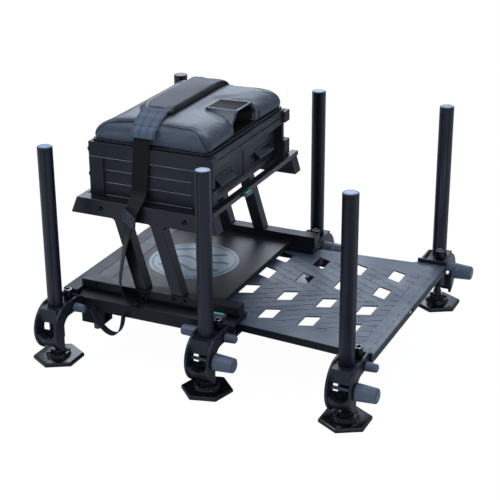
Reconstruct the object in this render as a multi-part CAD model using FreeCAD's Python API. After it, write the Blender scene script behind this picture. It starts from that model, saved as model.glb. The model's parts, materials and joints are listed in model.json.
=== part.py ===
import FreeCAD, Part
import math
import os

# Fishing seat box on six adjustable legs. Millimetres. The seat faces +X, the left hand
# side is +Y, and the ground is at Z = 0 under the middle of the whole object.

os.makedirs("parts", exist_ok=True)
V = FreeCAD.Vector

# General clearances
soft_gap = 0.3            # between soft or moving pieces that lie on each other
slide_gap = 0.5           # between sliding pieces that are loose fits
run_gap = 0.05            # radial, between a shaft and its bore

# Legs: six round tubes, two each at the rear, the middle and the front
leg_track = 665.0         # across, tube axis to tube axis
leg_gap_rear = 400.0      # middle tube axis to rear tube axis
leg_gap_front = 340.0     # middle tube axis to front tube axis
leg_dia = 36.0
leg_wall = 2.2
leg_top = 536.0           # height of the cap's top
cap_thick = 4.0
plug_depth = 20.0         # how far cap and ball plug reach into the tube

# Feet: hexagonal plates on ball joints
foot_flats = 106.0        # across the flats
pad_thick = 3.0
foot_thick = 7.0
foot_bevel = 3.0
hub_radius = 30.0
hub_height = 8.0
ball_radius = 12.0
ball_height = 22.0
socket_radius = 19.0
socket_top = 28.0
neck_radius = 7.5
neck_flare = (36.0, 46.0)   # heights of the collar at the foot of the neck
neck_flare_radius = 11.0
plug_head_low = 56.0
plug_head_thick = 4.0
foot_screw_radius = 4.0
foot_screw_height = 2.0
foot_screws = 4
foot_yaws = {"rear": 0.0, "mid": -15.0, "front": 0.0}

# Leg blocks: one casting with two C-shaped cheeks, a collar and a lower cup
block_reach = 62.0        # leg axis to the face that the block is bolted to
cheek_inner = 24.0
cheek_thick = 7.0
cheek_radius = 61.0
cheek_y = 8.0             # centre of the cheek's round rim, inboard of the leg axis
cheek_z = 86.0
cheek_cut_radius = 30.0
cheek_cut_y = 14.0
cheek_cut_z = 84.0
cheek_tail_y = cheek_cut_y - cheek_cut_radius   # where the lower end of the C stops
arm_low = 108.0
arm_top = 147.0
collar_low = 107.0
collar_top = 141.0
collar_front = 35.0
collar_back = 50.0
cup_low = 38.0
cup_top = 79.0
cup_notch = 13.0
cup_recess = 4.0
flange_half = 38.0
flange_thick = 6.0
flange_low = 114.0
arm_screw = (10.5, 26.0)   # radius and height of the cap screw that stands on the collar
arm_screw_x = 12.5        # ahead of the leg axis
arm_screw_y = 37.5        # inboard of the leg axis

# Clamp knob, which pinches the collar, and the smaller lock knob on the arm
clamp_y = 23.5            # outboard of the leg axis
clamp_z = 91.0
clamp_stem = 4.0
clamp_root = 21.0
clamp_tip = 18.0
clamp_length = 50.0
lock_y = 33.0             # inboard of the leg axis
lock_z = 126.0
lock_stem = 3.0
lock_root = 11.5
lock_tip = 10.0
lock_length = 28.0
rear_grip_root = 14.0     # second grip of the middle blocks' lock knobs
rear_grip_tip = 13.0
rear_grip_length = 45.0
knob_sides = 10
knob_chamfer = 3.0
knob_gap = 2.0            # washer between knob and cheek

# Base rails: a C channel that guides the footplate, with a hollow bar on top
rail_front = 41.0         # ahead of the middle leg axis
rail_low = 110.0
rail_floor = 8.0
rail_roof = 12.0
rail_lip = 150.0          # top of the channel's roof
rail_web = 8.0
lip_reach = 14.5          # how far the channel's roof runs inboard of the bar, under the deck
rail_bevel_y = 12.0
rail_bevel_z = 9.0
bar_top = 179.0
bar_width = 34.0
bar_margin = 3.0          # from the seat frame's outer face to the bar's outer face
bar_wall = 3.0
track_high = 10.0         # accessory groove along the bar
track_deep = 8.0
rear_rail_back = 416.0    # behind the middle leg axis
rear_rail_width = 40.0
rear_rail_low = 118.0
rear_rail_wall = 4.0
front_rail_x = -20.0
front_rail_width = 30.0
front_rail_height = 12.0

# Deck
deck_front = -28.0
deck_thick = 8.5
deck_edge = 2.0           # radius of its front edge
deck_line_x = 40.0        # groove across the deck, ahead of its rear edge
deck_line_wide = 1.6
deck_line_deep = 1.0

# Seat frames: one bar with two raked struts at each side
seat_frame_deep = 30.0    # each frame stands just outboard of the box's side
beam_low = 347.0
beam_top = 388.0
beam_rear_low = -396.0
beam_rear_top = -379.0
beam_front_low = -12.0
beam_front_top = -24.0
strut_width = 31.0
strut_rake = 50.0         # how far the strut's top lies behind its foot
strut_feet = (-230.0, -134.0)
strut_corner = 10.0
frame_wall = 3.0

# Crossbars on the beams, and the two bearers that carry the box
crossbar_high = 12.0
front_bar_x = (-38.0, -20.0)
rear_bar_x = (-379.0, -369.0)
bearer_centres = (-315.0, -95.0)
bearer_width = 30.0
bearer_height = 14.0
box_seat = 6.0            # how far each beam reaches in under the box

# Box
box_rear = -358.0
box_front = -41.0
box_half = 215.5
box_low = 388.0
tray_low = 483.0
tray_top = 519.0
box_wall = 4.0
panel_setback = 4.0       # casing panels lie behind the corner posts by this much
casing_floor_low = 396.0
casing_floor_thick = 6.0
post_width = 38.0
front_post_width = 48.0
post_front_leg = 25.5
ear_radius = 8.0
ear_length = 16.0
ear_reach = 8.0           # of the front ears, ahead of the box
ear_side = 6.0            # of the front ears, past the box's side
ear_round = 4.0
front_ear_high = 38.0
front_ear_gap = 2.0       # above the front crossbar
tray_ear_margin = 4.0     # below the tray's top and above its bottom
corner_cut = 14.0
panel_lines = (421.0, 452.0)
line_high = 1.6
line_deep = 1.2
tray_wall = 6.0
tray_line_inset = 20.0

# Drawers
drawer_recess = 19.0      # drawer fronts lie behind the tray's front by this much
drawer_wall = 3.0
drawer_front_thick = 8.0
drawer_lift = 1.0
drawer_top_gap = 2.0
drawer_length = 285.0
divider = 4.0
latch_centre = 108.0
latch_width = 84.0
latch_low = 428.0
latch_high = 22.0
latch_deep = 5.0
latch_tab = 14.0
latch_room = 8.0          # height of the finger recess below each latch
latch_pin = 1.5

# Lid, cushion and lift handle
lid_inset = 6.0
lid_gap = 0.3
lid_thick = 5.7
hinge_radius = 5.0
hinge_clear = 1.0         # between the hinge barrels and the box's rear face
hinge_pin_radius = 2.5
hinge_knuckle = 60.0
hinge_knuckles = 5
hinge_centre_gap = 0.4
cushion_corner = 18.0
cushion_draw = 3.0        # how far each side is drawn in at its middle
cushion_edge = 44.0       # height of the cushion's rolled edge
cushion_crown = 8.0
# Share of the height, with the insets at the rolled front and rear and at the flat sides
roll_insets = ((0, 4.0, 2.0), (0.25, 0.5, 0.5), (0.55, 3.0, 1.0), (0.8, 11.0, 3.0), (1.0, 27.0, 9.0))
crown_insets = ((0, 27.0, 9.0), (0.75, 62.0, 48.0), (1.0, 100.0, 95.0))
handle_setback = 14.0     # behind the box's front
handle_back = -140.0
# The handle's and its finger mouth's outlines: half width, height above the lid
handle_front = ((76.0, 0.0), (74.0, 28.0), (42.0, 55.0))
handle_rear = ((41.0, 0.0), (41.0, 31.0), (37.0, 53.0))
mouth_front = ((60.0, 3.0), (66.0, 26.0), (38.5, 52.0))
mouth_rear = ((20.0, 3.0), (20.0, 24.0), (14.0, 40.0))
handle_pocket = 52.0

# Shoulder strap
pad_x = (-281.0, -181.0)
pad_near = 137.0          # from the middle of the seat to the pad's end on the right
shoulder_pad_thick = 12.0
pad_end_radius = 34.0
pad_end_setback = 6.0
pad_corner = 22.0
tab_x = (-245.0, -180.0)
tab_thick = 5.0
web_width = 42.0
web_thick = 2.4
web_top_x = -214.5
web_beam_x = -222.0
web_buckle_x = -232.0
web_twist = 60.0          # how far the webbing has turned below its buckle
web_hang = ((-241.0, 285.0), (-255.0, 235.0), (-259.0, 195.0), (-254.0, 168.0), (-238.0, 158.0))
buckle_z = 363.0
buckle_width = 50.0
buckle_high = 26.0
buckle_thick = 8.0
tail_width = 20.0
tail_route = ((-330.0, 122.0), (-318.0, 92.0), (-296.0, 70.0), (-272.0, 62.0), (-253.0, 78.0),
              (-245.0, 122.0))

# Footplate
plate_front = 377.0
plate_rear = -150.0
plate_top = 137.5
plate_skin = 4.0
plate_skirt = 19.0
plate_wall = 5.0
plate_inset_rear = 27.5   # inboard of the rail's outer face
plate_inset_front = 8.5
plate_waist = 42.0
plate_ear = 292.0
ear_slope = 10.0
shoe_length = 60.0
hole_columns = (-20.0, 81.0, 182.0, 283.0)
hole_rows = (54.0, 162.0)
hole_width = 35.0
hole_length = 66.0
hole_slant = 13.0
rib_width = 5.0
rib_low = 124.0
slot_width = 26.0
slot_high = 8.0

# Accessory socket under the rear of the right rail
socket_x = (-372.0, -312.0)
socket_width = 44.0
socket_height = 38.0
socket_bore = 12.6
socket_inset = 6.0        # inboard of the rail's outer face
screw_stem = 3.0
screw_knob = 9.0
screw_length = 20.0
screw_neck = 2.0

# Small things
level_length = 34.0
level_width = 14.0
level_height = 8.0
level_depth = 11.0        # of the level on the front crossbar
level_proud = 2.0         # middle of the rail's level, outboard of the bar's face
rail_level_x = -7.0
bar_level_y = 72.0
vial_radius = 3.5
vial_length = 24.0
bolt_radius = 5.5
bolt_head = 4.0
strut_bolts = (6.2, 34.1)  # ahead of the strut's rear edge
rear_bolt_gap = 25.0      # ahead of the rear leg block's flange

# Places worked out from the sizes above
flats_half = foot_flats / 2
cheek_outer = cheek_inner + cheek_thick
knob_reach = cheek_outer + knob_gap + clamp_length
mid_x = (leg_gap_rear + flats_half - leg_gap_front - knob_reach) / 2
half_track = leg_track / 2
leg_radius = leg_dia / 2
leg_rows = {"rear": mid_x - leg_gap_rear, "mid": mid_x, "front": mid_x + leg_gap_front}
rail_out = half_track - block_reach
frame_in = box_half
frame_out = frame_in + seat_frame_deep
beam_in = frame_in - box_seat
bar_out = frame_out + bar_margin
bar_in = bar_out - bar_width
rail_inner = bar_in - lip_reach
plate_half_rear = rail_out - plate_inset_rear
plate_half_front = rail_out - plate_inset_front
rail_x0 = mid_x - rear_rail_back + rear_rail_width
rail_x1 = mid_x + rail_front
deck_top = rail_lip + deck_thick
lid_low = tray_top + lid_gap
lid_top = lid_low + lid_thick
cushion_low = lid_top
hinge_x = mid_x + box_rear - hinge_radius - hinge_clear
hinge_z = tray_top + hinge_centre_gap
channel_top = rail_lip - rail_roof
channel_low = rail_low + rail_floor


def block(x0, x1, y0, y1, z0, z1):
    """A box between two corners."""
    return Part.makeBox(x1 - x0, y1 - y0, z1 - z0, V(x0, y0, z0))


def rod(radius, start, direction, length):
    """A round bar from a start point along a direction."""
    return Part.makeCylinder(radius, length, V(*start), V(*direction))


def place(axis, level, a, b):
    """A point with two coordinates across an axis, at a level along it."""
    return {"x": V(level, a, b), "y": V(a, level, b), "z": V(a, b, level)}[axis]


def outward(solid):
    """Turns a solid right side out if it came inside out."""
    if solid.Volume < 0:
        solid.reverse()
    return solid


def prism(axis, outline, low, high):
    """A closed outline pushed along an axis."""
    points = [place(axis, low, a, b) for a, b in outline]
    face = Part.Face(Part.makePolygon(points + points[:1]))
    return outward(face.extrude(place(axis, high - low, 0, 0)))


def skin(wires, ruled=True):
    """A solid that runs through a row of closed wires."""
    return outward(Part.makeLoft(wires, True, ruled))


def loop(points):
    """A closed wire through points."""
    return Part.makePolygon([V(*p) for p in points] + [V(*points[0])])


def round_edges(solid, radius, axis, test=None):
    """Rounds the edges that run along an axis and pass a test."""
    along = place(axis, 1, 0, 0)
    picked = []
    for edge in solid.Edges:
        if edge.Curve.TypeId != "Part::GeomLine":
            continue
        if abs(edge.Curve.Direction.dot(along)) > 0.999 and (test is None or test(edge.CenterOfMass)):
            picked.append(edge)
    return solid.makeFillet(radius, picked)


def mirrored(shape):
    """The same piece for the other side."""
    return shape.mirror(V(0, 0, 0), V(0, 1, 0))


def save(node, *solids):
    """Writes one node, which may hold several separate solids."""
    shape = solids[0] if len(solids) == 1 else Part.makeCompound(list(solids))
    shape.exportStep("parts/" + node + ".step")


def both_sides(node, solid):
    """Saves a right hand piece and its mirror image."""
    save(node + "_right", solid)
    save(node + "_left", mirrored(solid))


def hexagon(flats, z, yaw=0.0):
    """A hexagonal wire with two flats square to X."""
    corner = flats / math.sqrt(3)
    turns = [math.radians(30 + 60 * i + yaw) for i in range(6)]
    return loop([(corner * math.cos(t), corner * math.sin(t), z) for t in turns])


# Leg tube with its cap and the plug that carries the ball
def leg_tube():
    bore = leg_radius - leg_wall
    low = plug_head_low + plug_head_thick
    high = leg_top - cap_thick
    tube = rod(leg_radius, (0, 0, low), (0, 0, 1), high - low)
    tube = tube.cut(rod(bore, (0, 0, low), (0, 0, 1), high - low))
    cap = rod(leg_radius, (0, 0, high), (0, 0, 1), cap_thick)
    cap = cap.makeChamfer(1.0, [e for e in cap.Edges if e.CenterOfMass.z > leg_top - 0.1])
    cap = cap.fuse(rod(bore - run_gap, (0, 0, high - plug_depth), (0, 0, 1), plug_depth))
    plug = rod(leg_radius, (0, 0, plug_head_low), (0, 0, 1), plug_head_thick)
    plug = plug.fuse(rod(bore - run_gap, (0, 0, low), (0, 0, 1), plug_depth))
    plug = plug.fuse(rod(neck_radius, (0, 0, ball_height), (0, 0, 1), plug_head_low - ball_height))
    plug = plug.fuse(Part.makeSphere(ball_radius, V(0, 0, ball_height)))
    flare_low, flare_high = neck_flare
    flare = Part.makeCone(neck_flare_radius, neck_radius, flare_high - flare_low, V(0, 0, flare_low))
    plug = plug.fuse(flare)
    return Part.makeCompound([tube, cap.removeSplitter(), plug.removeSplitter()])


# Foot: rubber pad, bevelled plate, hub with its ball socket, and screws
def foot(yaw):
    plate_low = pad_thick
    plate_high = pad_thick + foot_thick
    pad = skin([hexagon(foot_flats, 0, yaw), hexagon(foot_flats, plate_low, yaw)])
    plate = skin([hexagon(foot_flats, plate_low, yaw), hexagon(foot_flats, plate_high - foot_bevel, yaw),
                  hexagon(foot_flats - 2 * foot_bevel, plate_high, yaw)])
    hub = Part.makeCone(hub_radius, hub_radius - foot_bevel, hub_height, V(0, 0, plate_high))
    plate = plate.fuse(hub)
    plate = plate.fuse(rod(socket_radius, (0, 0, plate_high), (0, 0, 1), socket_top - plate_high))
    plate = plate.cut(Part.makeSphere(ball_radius + run_gap, V(0, 0, ball_height)))
    solids = [pad, plate.removeSplitter()]
    ring = (socket_radius + hub_radius - foot_bevel) / 2
    for i in range(foot_screws):
        turn = math.radians(360 * (i + 0.5) / foot_screws + yaw)
        spot = (ring * math.cos(turn), ring * math.sin(turn), plate_high + hub_height)
        solids.append(rod(foot_screw_radius, spot, (0, 0, 1), foot_screw_height))
    return Part.makeCompound(solids)


# Leg block, drawn for the right hand side, where outboard is -Y. The rear ones have no clamp.
def leg_block(has_clamp, lock_through):
    def cheek(x):
        plate = rod(cheek_radius, (x, cheek_y, cheek_z), (1, 0, 0), cheek_thick)
        past = cheek_radius + 2 * cheek_y
        plate = plate.cut(block(x, x + cheek_thick, cheek_y, past, arm_top, 2 * cheek_z))
        arm = block(x, x + cheek_thick, cheek_y, block_reach - flange_thick, arm_low, arm_top)
        plate = plate.fuse(arm)
        plate = plate.cut(rod(cheek_cut_radius, (x, cheek_cut_y, cheek_cut_z), (1, 0, 0), cheek_thick))
        plate = plate.cut(block(x, x + cheek_thick, cheek_tail_y, 2 * cheek_radius, 0, cheek_cut_z))
        plate = plate.cut(block(x, x + cheek_thick, block_reach, 2 * cheek_radius, 0, 2 * cheek_z))
        low_end = cheek_cut_z + cheek_cut_radius
        return plate.cut(block(x, x + cheek_thick, cheek_cut_y, 2 * cheek_radius, 0, low_end))

    casting = cheek(cheek_inner).fuse(cheek(-cheek_outer))
    collar = block(-cheek_inner, cheek_inner, -collar_front, collar_back, collar_low, collar_top)
    casting = casting.fuse(collar)
    cup = rod(cheek_radius - cup_recess, (-cheek_inner, cheek_y, cheek_z), (1, 0, 0), 2 * cheek_inner)
    cup = cup.common(block(-cheek_inner, cheek_inner, -cheek_radius, cheek_tail_y, cup_low, cup_top))
    notch_half = cheek_inner - cup_recess
    notch_radius = (notch_half ** 2 + cup_notch ** 2) / (2 * cup_notch)
    notch_centre = (0, -cheek_radius, cup_top - cup_notch + notch_radius)
    cup = cup.cut(rod(notch_radius, notch_centre, (0, 1, 0), cheek_radius - leg_radius))
    flange = block(-flange_half, flange_half, block_reach - flange_thick, block_reach,
                   flange_low, arm_top)
    casting = casting.fuse(cup).fuse(flange)
    casting = casting.cut(rod(leg_radius + run_gap, (0, 0, 0), (0, 0, 1), leg_top))
    if has_clamp:
        hole = rod(clamp_stem + run_gap, (-cheek_outer, -clamp_y, clamp_z), (1, 0, 0), 2 * cheek_outer)
        casting = casting.cut(hole)
    lock_start = -cheek_outer if lock_through else cheek_inner
    lock_hole = rod(lock_stem + run_gap, (lock_start, lock_y, lock_z), (1, 0, 0), cheek_outer - lock_start)
    return casting.cut(lock_hole).removeSplitter()


def grip(root, tip, length, x0, y, z):
    """A tapered hand grip with flats, pointing along +X."""
    stations = ((x0, root), (x0 + length - knob_chamfer, tip), (x0 + length, tip - knob_chamfer))
    turns = [2 * math.pi * i / knob_sides for i in range(knob_sides)]
    return skin([loop([(x, y + r * math.cos(t), z + r * math.sin(t)) for t in turns]) for x, r in stations])


def clamp_knob():
    stem = rod(clamp_stem, (-cheek_outer, -clamp_y, clamp_z), (1, 0, 0), 2 * cheek_outer + knob_gap)
    washer = rod(2 * clamp_stem, (cheek_outer, -clamp_y, clamp_z), (1, 0, 0), knob_gap)
    body = grip(clamp_root, clamp_tip, clamp_length, cheek_outer + knob_gap, -clamp_y, clamp_z)
    return body.fuse(stem).fuse(washer).removeSplitter()


def lock_knob(through):
    """The lock knob, whose stem runs through to a second grip at the rear if told to."""
    stem = rod(lock_stem, (cheek_inner, lock_y, lock_z), (1, 0, 0), cheek_thick + knob_gap)
    washer = rod(2 * lock_stem, (cheek_outer, lock_y, lock_z), (1, 0, 0), knob_gap)
    body = grip(lock_root, lock_tip, lock_length, cheek_outer + knob_gap, lock_y, lock_z).fuse(washer)
    if through:
        reach = cheek_outer + knob_gap
        stem = rod(lock_stem, (-reach, lock_y, lock_z), (1, 0, 0), 2 * reach)
        rear = grip(rear_grip_root, rear_grip_tip, rear_grip_length, reach, lock_y, lock_z).fuse(washer)
        body = body.fuse(rear.mirror(V(0, 0, 0), V(1, 0, 0)))
    return body.fuse(stem).removeSplitter()


def build_legs():
    tube, clamp = leg_tube(), clamp_knob()
    radius, height = arm_screw
    screw = rod(radius, (arm_screw_x, arm_screw_y, collar_top), (0, 0, 1), height)
    screw = screw.cut(rod(radius / 2, (arm_screw_x, arm_screw_y, collar_top + height / 2), (0, 0, 1), height))
    screws = {}
    for row, x in leg_rows.items():
        spot = V(x, -half_track, 0)
        has_clamp = row != "rear"
        lock_through = row == "mid"
        both_sides("leg_tube_" + row, tube.translated(spot))
        both_sides("leg_block_" + row, leg_block(has_clamp, lock_through).translated(spot))
        if has_clamp:
            both_sides("clamp_knob_" + row, clamp.translated(spot))
        both_sides("lock_knob_" + row, lock_knob(lock_through).translated(spot))
        both_sides("foot_" + row, foot(foot_yaws[row]).translated(spot))
        screws[row] = [screw.translated(spot), mirrored(screw.translated(spot))]
    save("block_screws_base", *screws["rear"], *screws["mid"])
    save("block_screws_front", *screws["front"])


# Base: two guide rails, a rear and a front cross rail, and the deck
def side_rail():
    roof = block(rail_x0, rail_x1, -rail_out, -rail_inner, channel_top, rail_lip)
    web = block(rail_x0, rail_x1, -rail_out, -rail_out + rail_web, rail_low, rail_lip)
    floor = block(rail_x0, rail_x1, -rail_out, -bar_in, rail_low, channel_low)
    bar = block(rail_x0, rail_x1, -bar_out, -bar_in, rail_lip, bar_top)
    rail = roof.fuse(web).fuse(floor).fuse(bar)
    bevel = [(-rail_out, rail_lip - rail_bevel_z), (-rail_out + rail_bevel_y, rail_lip),
             (-rail_out, rail_lip)]
    rail = rail.cut(prism("x", bevel, rail_x0, rail_x1))
    rail = rail.cut(block(rail_x0, rail_x1, -bar_out, -bar_out + track_deep, rail_lip, rail_lip + track_high))
    core_low = rail_lip + track_high + bar_wall
    core = block(rail_x0, rail_x1 - bar_wall, -bar_out + bar_wall, -bar_in - bar_wall,
                 core_low, bar_top - bar_wall)
    return rail.cut(core).removeSplitter()


def build_base():
    both_sides("side_rail", side_rail())
    x0 = mid_x - rear_rail_back
    wall = rear_rail_wall
    rear = block(x0, rail_x0, -rail_out, rail_out, rear_rail_low, deck_top)
    rear = round_edges(rear, wall, "y", lambda c: c.x < x0 + 1 and c.z > deck_top - 1)
    rear = rear.cut(block(x0 + wall, rail_x0 - wall, -rail_out + wall, rail_out - wall,
                          rear_rail_low, deck_top - wall))
    save("rear_cross_rail", rear)
    fx = mid_x + front_rail_x
    front = block(fx, fx + front_rail_width, -rail_out, rail_out, rail_low - front_rail_height, rail_low)
    core = block(fx + bar_wall, fx + front_rail_width - bar_wall, -rail_out, rail_out,
                 rail_low - front_rail_height + bar_wall, rail_low - bar_wall)
    save("front_cross_rail", front.cut(core))
    half = bar_in - slide_gap
    front = mid_x + deck_front
    deck = block(rail_x0 + slide_gap, front, -half, half, rail_lip, deck_top)
    line_x = rail_x0 + slide_gap + deck_line_x
    deck = deck.cut(block(line_x, line_x + deck_line_wide, -half, half, deck_top - deck_line_deep, deck_top))
    save("deck_panel", round_edges(deck, deck_edge, "y", lambda c: c.x > front - 1 and c.z > deck_top - 1))


# Seat frames and the bars across them
def strut_outline(foot_x, inset, low):
    """The slanted outline of one strut, drawn in at both sides by an inset."""
    rake = strut_rake / (beam_low - bar_top)
    top = beam_low + inset
    x_top, x_low = foot_x - rake * (top - bar_top), foot_x - rake * (low - bar_top)
    return [(x_low + inset, low), (x_low + strut_width - inset, low), (x_top + strut_width - inset, top),
            (x_top + inset, top)]


def seat_frame():
    ends = [(beam_rear_low, beam_low), (beam_front_low, beam_low), (beam_front_top, beam_top),
            (beam_rear_top, beam_top)]
    wall = frame_wall
    frame = prism("y", [(mid_x + x, z) for x, z in ends], -frame_out, -beam_in)
    core = block(mid_x + beam_rear_top + wall, mid_x + beam_front_top - wall, -frame_out + wall,
                 -beam_in - wall, beam_low + wall, beam_top - wall)
    for foot_x in strut_feet:
        frame = frame.fuse(prism("y", strut_outline(mid_x + foot_x, 0, bar_top), -frame_out, -frame_in))
        hollow = strut_outline(mid_x + foot_x, wall, bar_top)
        core = core.fuse(prism("y", hollow, -frame_out + wall, -frame_in - wall))
    frame = frame.removeSplitter()
    low_edge, left, right = beam_low, mid_x + beam_rear_low + 1, mid_x + beam_front_low - 1
    frame = round_edges(frame, strut_corner, "y",
                        lambda c: abs(c.z - low_edge) < 0.1 and left < c.x < right)
    return frame.cut(core)


def build_seat_frames():
    both_sides("seat_frame", seat_frame())
    front_bar = block(mid_x + front_bar_x[0], mid_x + front_bar_x[1], -frame_out, frame_out,
                      beam_top, beam_top + crossbar_high)
    rear_bar = block(mid_x + rear_bar_x[0], mid_x + rear_bar_x[1], -beam_in, beam_in,
                     beam_top - crossbar_high, beam_top)
    save("upper_crossbars", front_bar, rear_bar)
    bearers = []
    for centre in bearer_centres:
        x0 = mid_x + centre - bearer_width / 2
        bearers.append(block(x0, x0 + bearer_width, -beam_in, beam_in, box_low - bearer_height, box_low))
    save("seat_bearers", *bearers)


# Box: casing with a divider, corner posts, tray
def build_box():
    x0, x1 = mid_x + box_rear, mid_x + box_front
    front = x1 - drawer_recess - drawer_front_thick
    out = box_half - panel_setback
    floor_top = casing_floor_low + casing_floor_thick
    casing = block(x0 + panel_setback, front, -out, out, box_low, tray_low)
    inner = x0 + panel_setback + box_wall
    side = out - box_wall
    casing = casing.cut(block(inner, front, -side, side, floor_top, tray_low))
    casing = casing.cut(block(inner, front - box_wall, -side, side, box_low, casing_floor_low))
    casing = casing.fuse(block(inner, front, -divider / 2, divider / 2, floor_top, tray_low))
    for z in panel_lines:
        for y in (-out, out - line_deep):
            casing = casing.cut(block(x0 + post_width, x1 - front_post_width, y, y + line_deep,
                                      z, z + line_high))
    save("box_casing", casing.removeSplitter())

    def front_ear(low, high):
        """A block that wraps the right hand front corner, rounded where it stands out."""
        ear = block(x1 - corner_cut, x1 + ear_reach,
                    -box_half - ear_side, -box_half + post_front_leg, low, high)
        return round_edges(ear, ear_round, "z", lambda c: c.x > x1 or c.y < -box_half)

    def post(front_side):
        """One right hand corner post with its ears."""
        side_y = (-box_half, -box_half + panel_setback)
        if front_side:
            piece = block(x1 - front_post_width, x1, *side_y, box_low, tray_low)
            piece = piece.fuse(block(front, x1, -box_half, -box_half + post_front_leg, box_low, tray_low))
            cut = [(x1 - corner_cut, -box_half), (x1, -box_half), (x1, -box_half + corner_cut)]
            piece = piece.cut(prism("z", cut, box_low, tray_low))
            low = beam_top + crossbar_high + front_ear_gap
            ear = front_ear(low, low + front_ear_high)
        else:
            piece = block(x0, x0 + post_width, *side_y, box_low, tray_low)
            piece = piece.fuse(block(x0, x0 + panel_setback, -box_half, -box_half + post_width,
                                     box_low, tray_low))
            ear_y = -box_half + 2 * panel_setback
            ear = rod(ear_radius, (x0, ear_y, (box_low + tray_low) / 2), (0, 1, 0), ear_length)
            ear = ear.cut(block(x0 + panel_setback, front, -box_half, box_half, box_low, tray_low))
        return piece.fuse(ear).removeSplitter()

    posts = [post(True), post(False)]
    save("corner_posts", *posts, *[mirrored(p) for p in posts])

    tray = block(x0, x1, -box_half, box_half, tray_low, tray_top)
    for y, dy in ((-box_half, corner_cut), (box_half, -corner_cut)):
        cut = [(x1 - corner_cut, y), (x1, y), (x1, y + dy)]
        tray = tray.cut(prism("z", cut, tray_low, tray_top))
    ear = front_ear(tray_low + tray_ear_margin, tray_top - tray_ear_margin)
    tray = tray.fuse(ear).fuse(mirrored(ear))
    half = box_half - tray_wall
    cavity = block(x0 + tray_wall, x1 - tray_wall, -half, half, tray_low + box_wall, tray_top)
    cavity = round_edges(cavity, corner_cut, "z")
    tray = tray.cut(cavity)
    groove = (tray_low + tray_top) / 2
    groove_half = box_half - corner_cut - tray_line_inset
    tray = tray.cut(block(x1 - line_deep, x1, -groove_half, groove_half, groove, groove + line_high))
    for y in (-box_half + 2 * panel_setback, box_half - 2 * panel_setback - ear_length):
        ear = rod(ear_radius, (x0, y, groove - ear_radius / 2), (0, 1, 0), ear_length)
        tray = tray.fuse(ear.cut(block(x0 + tray_wall, x1, -box_half, box_half, tray_low, tray_top)))
    for i in range(0, hinge_knuckles, 2):
        tray = tray.fuse(knuckle(i, False))
    save("seat_tray", tray.removeSplitter())
    pin_length = hinge_knuckles * hinge_knuckle
    save("lid_hinge_pin", rod(hinge_pin_radius, (hinge_x, -pin_length / 2, hinge_z), (0, 1, 0), pin_length))


def knuckle(index, on_lid):
    """One barrel of the lid hinge with the leaf that joins it to the tray or to the lid."""
    y0 = (index - hinge_knuckles / 2) * hinge_knuckle + soft_gap
    y1 = y0 + hinge_knuckle - 2 * soft_gap
    barrel = rod(hinge_radius, (hinge_x, y0, hinge_z), (0, 1, 0), y1 - y0)
    rear = mid_x + box_rear
    if on_lid:
        leaf = block(hinge_x, rear + 2 * lid_inset, y0, y1, lid_low + 1, lid_top)
    else:
        leaf = block(hinge_x - hinge_radius / 2, rear, y0, y1, hinge_z - 3 * hinge_radius, hinge_z)
    bore = rod(hinge_pin_radius + (run_gap if on_lid else 0), (hinge_x, y0, hinge_z), (0, 1, 0), y1 - y0)
    return barrel.fuse(leaf).cut(bore)


# Two drawers side by side, each with a finger latch
def build_drawers():
    x1 = mid_x + box_front - drawer_recess
    x0 = x1 - drawer_length
    y_in = divider / 2 + slide_gap
    y_out = box_half - post_front_leg - slide_gap
    low = max(casing_floor_low + casing_floor_thick, beam_top + crossbar_high) + drawer_lift
    top = tray_low - drawer_top_gap
    back = x1 - drawer_front_thick
    tub = block(x0, back, -y_out, -y_in, low, top - drawer_wall)
    tub = tub.cut(block(x0 + drawer_wall, back - drawer_wall, -y_out + drawer_wall, -y_in - drawer_wall,
                        low + drawer_wall, top))
    face = block(back, x1, -y_out, -y_in, low, top)
    pocket_half = latch_width / 2 + 1
    pocket = block(x1 - latch_deep - 1, x1, -latch_centre - pocket_half, -latch_centre + pocket_half,
                   latch_low - latch_room, latch_low + latch_high + 1)
    tub = tub.fuse(face).cut(pocket)
    pin_z = latch_low + latch_high - latch_pin - 1
    pin_x = x1 - latch_deep / 2
    pin = rod(latch_pin, (pin_x, -latch_centre - pocket_half, pin_z), (0, 1, 0), 2 * pocket_half)
    both_sides("drawer", tub.fuse(pin).removeSplitter())
    half = latch_width / 2
    flap = block(x1 - latch_deep, x1, -latch_centre - half, -latch_centre + half,
                 latch_low, latch_low + latch_high)
    wedge = [(x1 - latch_deep, latch_low), (x1 + latch_tab, latch_low),
             (x1 + latch_tab, latch_low + latch_deep), (x1, latch_low + latch_high - latch_deep)]
    flap = flap.fuse(prism("y", wedge, -latch_centre - half, -latch_centre + half))
    flap = round_edges(flap, latch_deep / 2 - 0.1, "y", lambda c: c.z > latch_low + latch_high - 1)
    flap = flap.cut(rod(latch_pin + run_gap, (pin_x, -latch_centre - half, pin_z), (0, 1, 0), latch_width))
    both_sides("drawer_latch", flap.removeSplitter())


# Lid with its cushion and moulded lift handle
def cushion_section(x0, x1, half, z, inset, side_inset):
    """A rounded rectangle whose sides are drawn in between its corners."""
    a0, a1, b = x0 + inset, x1 - inset, half - side_inset
    r = cushion_corner
    k = r * (1 - math.sqrt(0.5))
    mid = (a0 + a1) / 2
    d = cushion_draw
    stops = [(a0 + r, -b), (mid, -b + d), (a1 - r, -b), (a1 - k, -b + k), (a1, -b + r), (a1 - d, 0),
             (a1, b - r), (a1 - k, b - k), (a1 - r, b), (mid, b - d), (a0 + r, b), (a0 + k, b - k),
             (a0, b - r), (a0 + d, 0), (a0, -b + r), (a0 + k, -b + k), (a0 + r, -b)]
    stops = [V(x, y, z) for x, y in stops]
    return Part.Wire([Part.Arc(*stops[i:i + 3]).toShape() for i in range(0, len(stops) - 1, 2)])


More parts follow.
